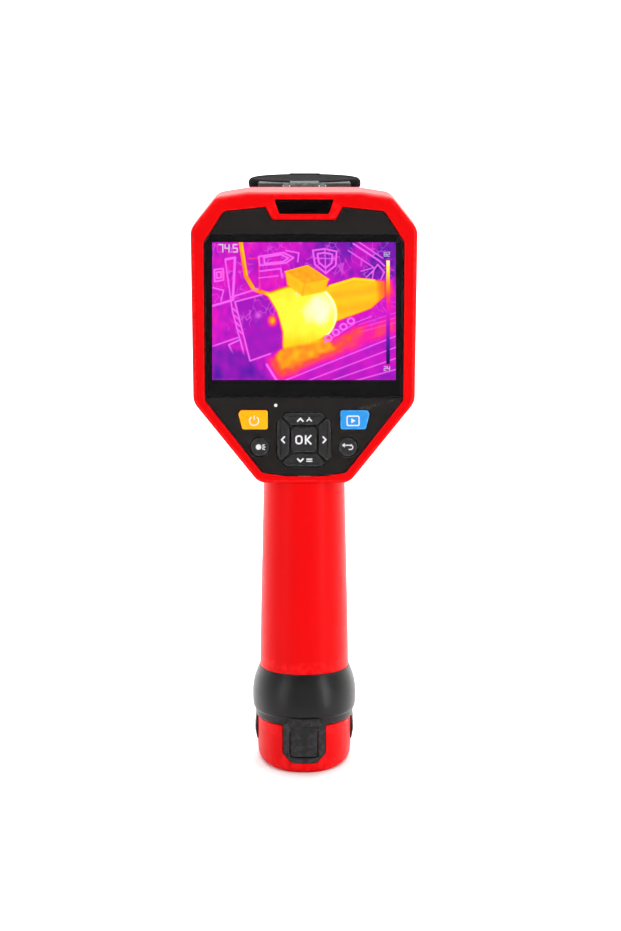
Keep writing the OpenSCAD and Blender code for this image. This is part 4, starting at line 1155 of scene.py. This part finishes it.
# ---------------------------------------------------------------- collar, tab, cup and latches
CUP = (18.8, 26.6, 1.4)
COLLAR = smooth([(19.9, 19.95, 26.72, 1.35), (20.3, 20.25, 26.82, 1.3), (21.6, 20.5, 26.9, 1.2),
                 (24, 20.6, 26.8, 1.1), (26, 20.6, 26.5, 1), (30.5, 20, 25.4, 0.7),
                 (34.5, 18.7, 23.4, 0.3), (36.2, 18.0, 22.4, 0.2)], 5)
TONGUE = mirrored([(6.2, 20.2, 0.5), (6.2, 18.4, 0.4), (8.2, 17.4, 0.5), (8.2, 5.8, 1.2),
                   (4.9, 2.3, 1.5)])
TAB_HOLE = mirrored([(5.4, 16.6, 0.5), (5.4, 4.6, 0.9)])
LATCH_HOLE = mirrored([(5.6, 16.6, 0.6), (5.6, 6.8, 1.5)])
LATCH_SLOT = mirrored([(5.9, 19, 0.6), (5.9, 6.5, 1.8)])
TAB_Y, TAB_Z = -23.7, 15.2


def cup_wall(grow, high):
    w, d, y = CUP
    return loft(ovals([(-5, w - 0.3, d - 0.3, y), (9, w, d, y), (high, w, d, y)], grow), grip)


def back_prism(corners, d=0.0):
    return loft([[(x, y, z) for x, z in rounded(inset(corners, d), 6)] for y in (-40, -10)], grip)


def side_prism(side, corners, d=0.0):
    return loft([[(x, y, z) for y, z in rounded(inset(corners, d), 6)]
                 for x in (side * 15.3, side * 30.3)], grip)


def stepped(shape, wall_at, levels):
    """Grows a raised pad in fine steps, so that its rim is rounded."""
    out = None
    for grow, d in levels:
        layer = common(wall_at(grow), shape(d))
        out = layer if out is None else join(out, layer)
    return out


def rim_levels(top, r, steps=4):
    out = [(top - r, 0.0)]
    for k in range(1, steps + 1):
        t = pi / 2 * k / steps
        out.append((top - r + r * sin(t), r * (1 - cos(t))))
    return out


collar_rows = [(17, 19.2, 26.1, 1.4), (17.1, 19.34, 26.24, 1.4), (17.3, 19.45, 26.36, 1.4),
               (17.6, 19.5, 26.4, 1.4), (19.45, 19.58, 26.48, 1.4), (19.65, 19.66, 26.54, 1.4)] + COLLAR \
    + [(36.45, 17.85, 22.25, 0.2), (36.5, 17.7, 22.1, 0.2)]
collar = loft(ovals(collar_rows), grip)
tongue = cut(stepped(lambda d: back_prism(TONGUE, d), lambda g: cup_wall(g, 20), rim_levels(0.9, 0.45)),
             cup_wall(-1.5, 17))
collar = join(collar, tongue)
collar = cut(collar, loft(ovals([(2, 16.45, 20.85, 0.4), (40, 16.45, 20.85, 0.2)]), grip),
             column(box(16, 21.5), (0, 16.9)))
collar = cut(collar, back_prism(TAB_HOLE, -0.2))
for side in (-1, 1):
    collar = cut(collar, column(box(1.3, 5.4, (side * 17.25, 0)), (10, 25.6)))
piece(collar, "Grip_Collar", "housing", "collar_plastic", M["collar"], "grip_collar", angle=30)

tab_piece = stepped(lambda d: back_prism(TAB_HOLE, d), lambda g: cup_wall(g, 17), rim_levels(0.45, 0.4))
tab_inner = [(-8, TAB_Y - 0.5), (8, TAB_Y - 0.5), (8, 0), (-8, 0)]
tab_piece = cut(tab_piece, column(tab_inner, (0, 20)))
knuckle_bar = prism_x(circle((TAB_Y, TAB_Z), 1), 5.38, grip)
pin_bore = prism_x(circle((TAB_Y, TAB_Z), 0.56, 24), 8, grip)
tab_piece = cut(join(tab_piece, knuckle_bar), pin_bore)
piece(tab_piece, "Rear_Tab", "rear_tab", "collar_plastic", M["collar"], "rear_tab")

cup_rows = [(0, 16.4, 24.4, 1.4, 1), (0.15, 16.95, 24.95, 1.4, 1), (0.6, 17.5, 25.5, 1.4, 1),
            (1.3, 18.02, 25.95, 1.4, 1), (2.2, 18.4, 26.3, 1.4, 1), (5, 18.62, 26.45, 1.4, 0.75),
            (9, 18.8, 26.6, 1.4, 0.4), (13, 18.82, 26.62, 1.4, 0.15), (16.3, 18.8, 26.6, 1.4, 0),
            (16.55, 18.72, 26.52, 1.4, 0), (16.7, 18.5, 26.3, 1.4, 0)]
cup = loft(ovals(cup_rows), grip)
cup = cut(cup, loft(ovals([(3.2, 15.6, 21.6, 1.4, 0.6), (12.4, 15.6, 21.6, 1.4)]), grip))
cup = join(cup, column(disc(7.4, n=64), (1, 6), world))
for side in (-1, 1):
    cup = join(cup, column(box(1, 3, (side * 12.4, 0)), (2.6, 10.5)))
cup = cut(cup, column(disc(12.4, n=96), (10, 30)))
cup = cut(cup, cut(back_prism(TONGUE, -0.3), cup_wall(-2.7, 24)))
for side in (-1, 1):
    cup = cut(cup, side_prism(side, LATCH_SLOT))
cup = cut(cup, loft([[(x, y, z) for x, y in disc(r, (0, 0), 64)] for r, z in
                     ((5.5, -1), (5.5, 0), (5.0, 0.35), (4.9, 0.4), (4.9, 11))], world))
piece(cup, "Battery_Cup", "battery_foot", "red_shell", M["red"], "battery_cup")

PAD_ROWS = [(-4, 17.9, 25.8, 2), (7, 18.2, 26, 2), (11, 18.8, 26.6, 2), (15, 18.6, 26.4, 2),
            (18, 18.2, 26, 2)]


def latch_pad(side):
    def shape(d):
        return side_prism(side, LATCH_HOLE, d)

    def wall_at(grow):
        return loft(ovals(smooth(PAD_ROWS, 4), grow), grip)
    pad = stepped(shape, wall_at, rim_levels(1.0, 0.5))
    pad = cut(pad, loft(ovals([(-5, 16.9, 24.6, 2), (24, 16.9, 24.6, 2)]), grip))
    for k in range(4):
        z = 8.6 + 1.7 * k
        rib = cut(side_prism(side, soft_box(8.4, 0.6, 0.25, (0, z))),
                  loft(ovals(smooth(PAD_ROWS, 4), 0.65), grip))
        pad = cut(pad, rib)
    return join(pad, column(box(0.6, 5, (side * 17.77, 0)), (14, 23.6)))


for side, name in ((-1, "latch_left"), (1, "latch_right")):
    piece(latch_pad(side), "Latch_Left" if side < 0 else "Latch_Right", name, "collar_plastic",
          M["collar"], name)

# ---------------------------------------------------------------- tripod socket
thread = [(4.9, 0.0), (4.9, 5.9)] + [(2.6 + (0.45 if k % 2 else 0.0), 5.9 - 0.59 * k) for k in range(11)]
insert = loft([[(x, y, z) for x, y in circle((0, 0), r, 96)] for r, z in thread], ring=True)
piece(insert, "Tripod_Insert", "battery_foot", "insert_brass", M["brass"], "tripod_insert")


# ---------------------------------------------------------------- screws
def screw_head(x, y, z, place=world):
    """A pan head with a hex socket, seen from +Y."""
    rings = [(0.001, 2.0), (1.6, 2.0), (2.3, 1.86), (2.7, 1.55), (2.9, 1.1), (2.9, 0), (1.45, 0), (1.45, -15),
             (0.8, -15.5), (0.001, -15.5)]
    socket = (1.35, 2.3), (1.35, 2.0), (1.1, 1.85), (1.1, 0.9)
    return cut(*(loft([[(a, y + h, b) for a, b in circle((x, z), r, n)] for r, h in rows], place)
                 for rows, n in ((rings, 48), (socket, 6))))


heads = [screw_head(x, y, z) for x, z, y in SCREWS] + [screw_head(0, 14, 106, grip)]
for x, v in ((38.9, 20), (-38.9, 20), (38.4, -26), (-38.4, -26)):
    heads.append(stack([(0.8, 4), (0.8, 6.8), (1.7, 6.8), (1.7, 7.5), (1.3, 7.9), (0.001, 7.9)],
                       (x, v), 32))
piece(merge("screws", *heads), "Housing_Screws", "housing", "screw_steel", M["screw"], "shell_screws")

# ---------------------------------------------------------------- CAD nodes that stay
CAD_LOOKS = {
    "seal": ["shell_seal", "lens_seal"],
    "lcd": ["lcd_module"],
    "steel": ["lcd_bracket", "key_domes", "usb_socket", "cover_pin", "trigger_pin",
              "trigger_spring", "tab_pin", "latch_spring_left", "latch_spring_right"],
    "board": ["main_board", "key_board", "port_board", "detector_board", "trigger_board",
              "charge_board"],
    "chip": ["board_chips"],
    "germanium": ["rear_lens"],
    "module": ["shutter_unit", "camera_module", "trigger_switch"],
    "gold": ["detector", "contact_block", "battery_contacts"],
    "lamp": ["torch_led"],
    "bay": ["battery_sleeve", "battery_stem"],
    "cell": ["battery_cell"],
}
for look, names in CAD_LOOKS.items():
    for name in names:
        materials = frame["nodes"][name].data.materials
        materials.clear()
        materials.append(M[look])


# ---------------------------------------------------------------- floor, light and camera
def sweep():
    """A round pale floor that curves up into a backdrop on every side."""
    flat, bend, top = 0.9, 0.6, 3.0
    path = [(0.0, 0.0)] + [(flat + bend * sin(t), bend - bend * cos(t))
                           for t in sweep_angles(16)] + [(flat + bend, top)]
    around = 96
    verts = [(r * cos(2 * pi * k / around), r * sin(2 * pi * k / around), z)
             for r, z in path[1:] for k in range(around)] + [(0, 0, 0)]
    faces = [(i * around + k, (i + 1) * around + k, (i + 1) * around + (k + 1) % around,
              i * around + (k + 1) % around) for i in range(len(path) - 2) for k in range(around)]
    faces += [(len(verts) - 1, k, (k + 1) % around) for k in range(around)]
    mesh = bpy.data.meshes.new("Floor")
    mesh.from_pydata(verts, [], faces)
    mesh.shade_smooth()
    obj = bpy.data.objects.new("Floor", mesh)
    bpy.context.scene.collection.objects.link(obj)
    n = Nodes("Pale_Floor")
    n.set(n.shader, "Base Color", n.mix(n.range(n.noise(120), 0.3, 0.7), (0.88, 0.88, 0.88, 1),
                                         (0.92, 0.92, 0.92, 1)))
    n.set(n.shader, "Roughness", n.range(n.noise(30), 0.3, 0.7, 0.7, 0.85))
    mesh.materials.append(n.material)
    obj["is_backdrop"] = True


def area(name, at, aim, size, power, size_y=None):
    data = bpy.data.lights.new(name, "AREA")
    data.energy, data.shape, data.size = power, "RECTANGLE", size
    data.size_y = size_y or size
    obj = bpy.data.objects.new(name, data)
    obj.location = at
    obj.rotation_mode = "QUATERNION"
    obj.rotation_quaternion = (Vector(aim) - Vector(at)).to_track_quat("-Z", "Y")
    bpy.context.scene.collection.objects.link(obj)


sweep()
area("Top_Softbox", (0.03, 0.45, 1.0), (0, 0.35, 0.0), 0.9, 18)
area("Left_Softbox", (-0.8, -0.62, 0.42), (0, 0, 0.12), 0.3, 3.1, size_y=0.8)
area("Right_Softbox", (0.8, -0.6, 0.42), (0, 0, 0.12), 0.3, 5.9, size_y=0.8)
area("Backdrop_Wash", (0.0, 0.5, 1.2), (0, 1.5, 0.4), 0.8, 13, size_y=0.3)

scene = bpy.context.scene
sky = bpy.data.worlds.new("Studio")
sky.use_nodes = True
sky.node_tree.nodes["Background"].inputs[0].default_value = (1, 1, 1, 1)
sky.node_tree.nodes["Background"].inputs[1].default_value = 0.09
scene.world = sky
scene.view_settings.view_transform = "Standard"
scene.view_settings.look = "None"
scene.view_settings.exposure = 0.0

DISTANCE = 800                   # mm from the display's centre plane
VIEW_RIGHT, VIEW_DOWN = 2.5, 59.5  # mm from the display's centre to the view's centre
VIEW_HEIGHT = 0.385 * 931        # mm seen from top to bottom at that distance
SENSOR = 36
lens_view = bpy.data.cameras.new("Camera")
camera = bpy.data.objects.new("Camera", lens_view)
scene.collection.objects.link(camera)
normal, up = Vector((0, -CT, ST)), Vector((0, ST, CT))
spot = Vector((0, FACE_Y, FACE_Z)) + normal * DISTANCE \
    + Vector((VIEW_RIGHT, 0, 0)) - up * VIEW_DOWN
turn = Matrix((Vector((1, 0, 0)), up, normal)).transposed()
camera.matrix_world = Matrix.Translation(spot * MM) @ turn.to_4x4()
lens_view.sensor_width = SENSOR
lens_view.lens = SENSOR * DISTANCE / VIEW_HEIGHT
lens_view.clip_start, lens_view.clip_end = 0.01, 20
scene.camera = camera

low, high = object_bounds()
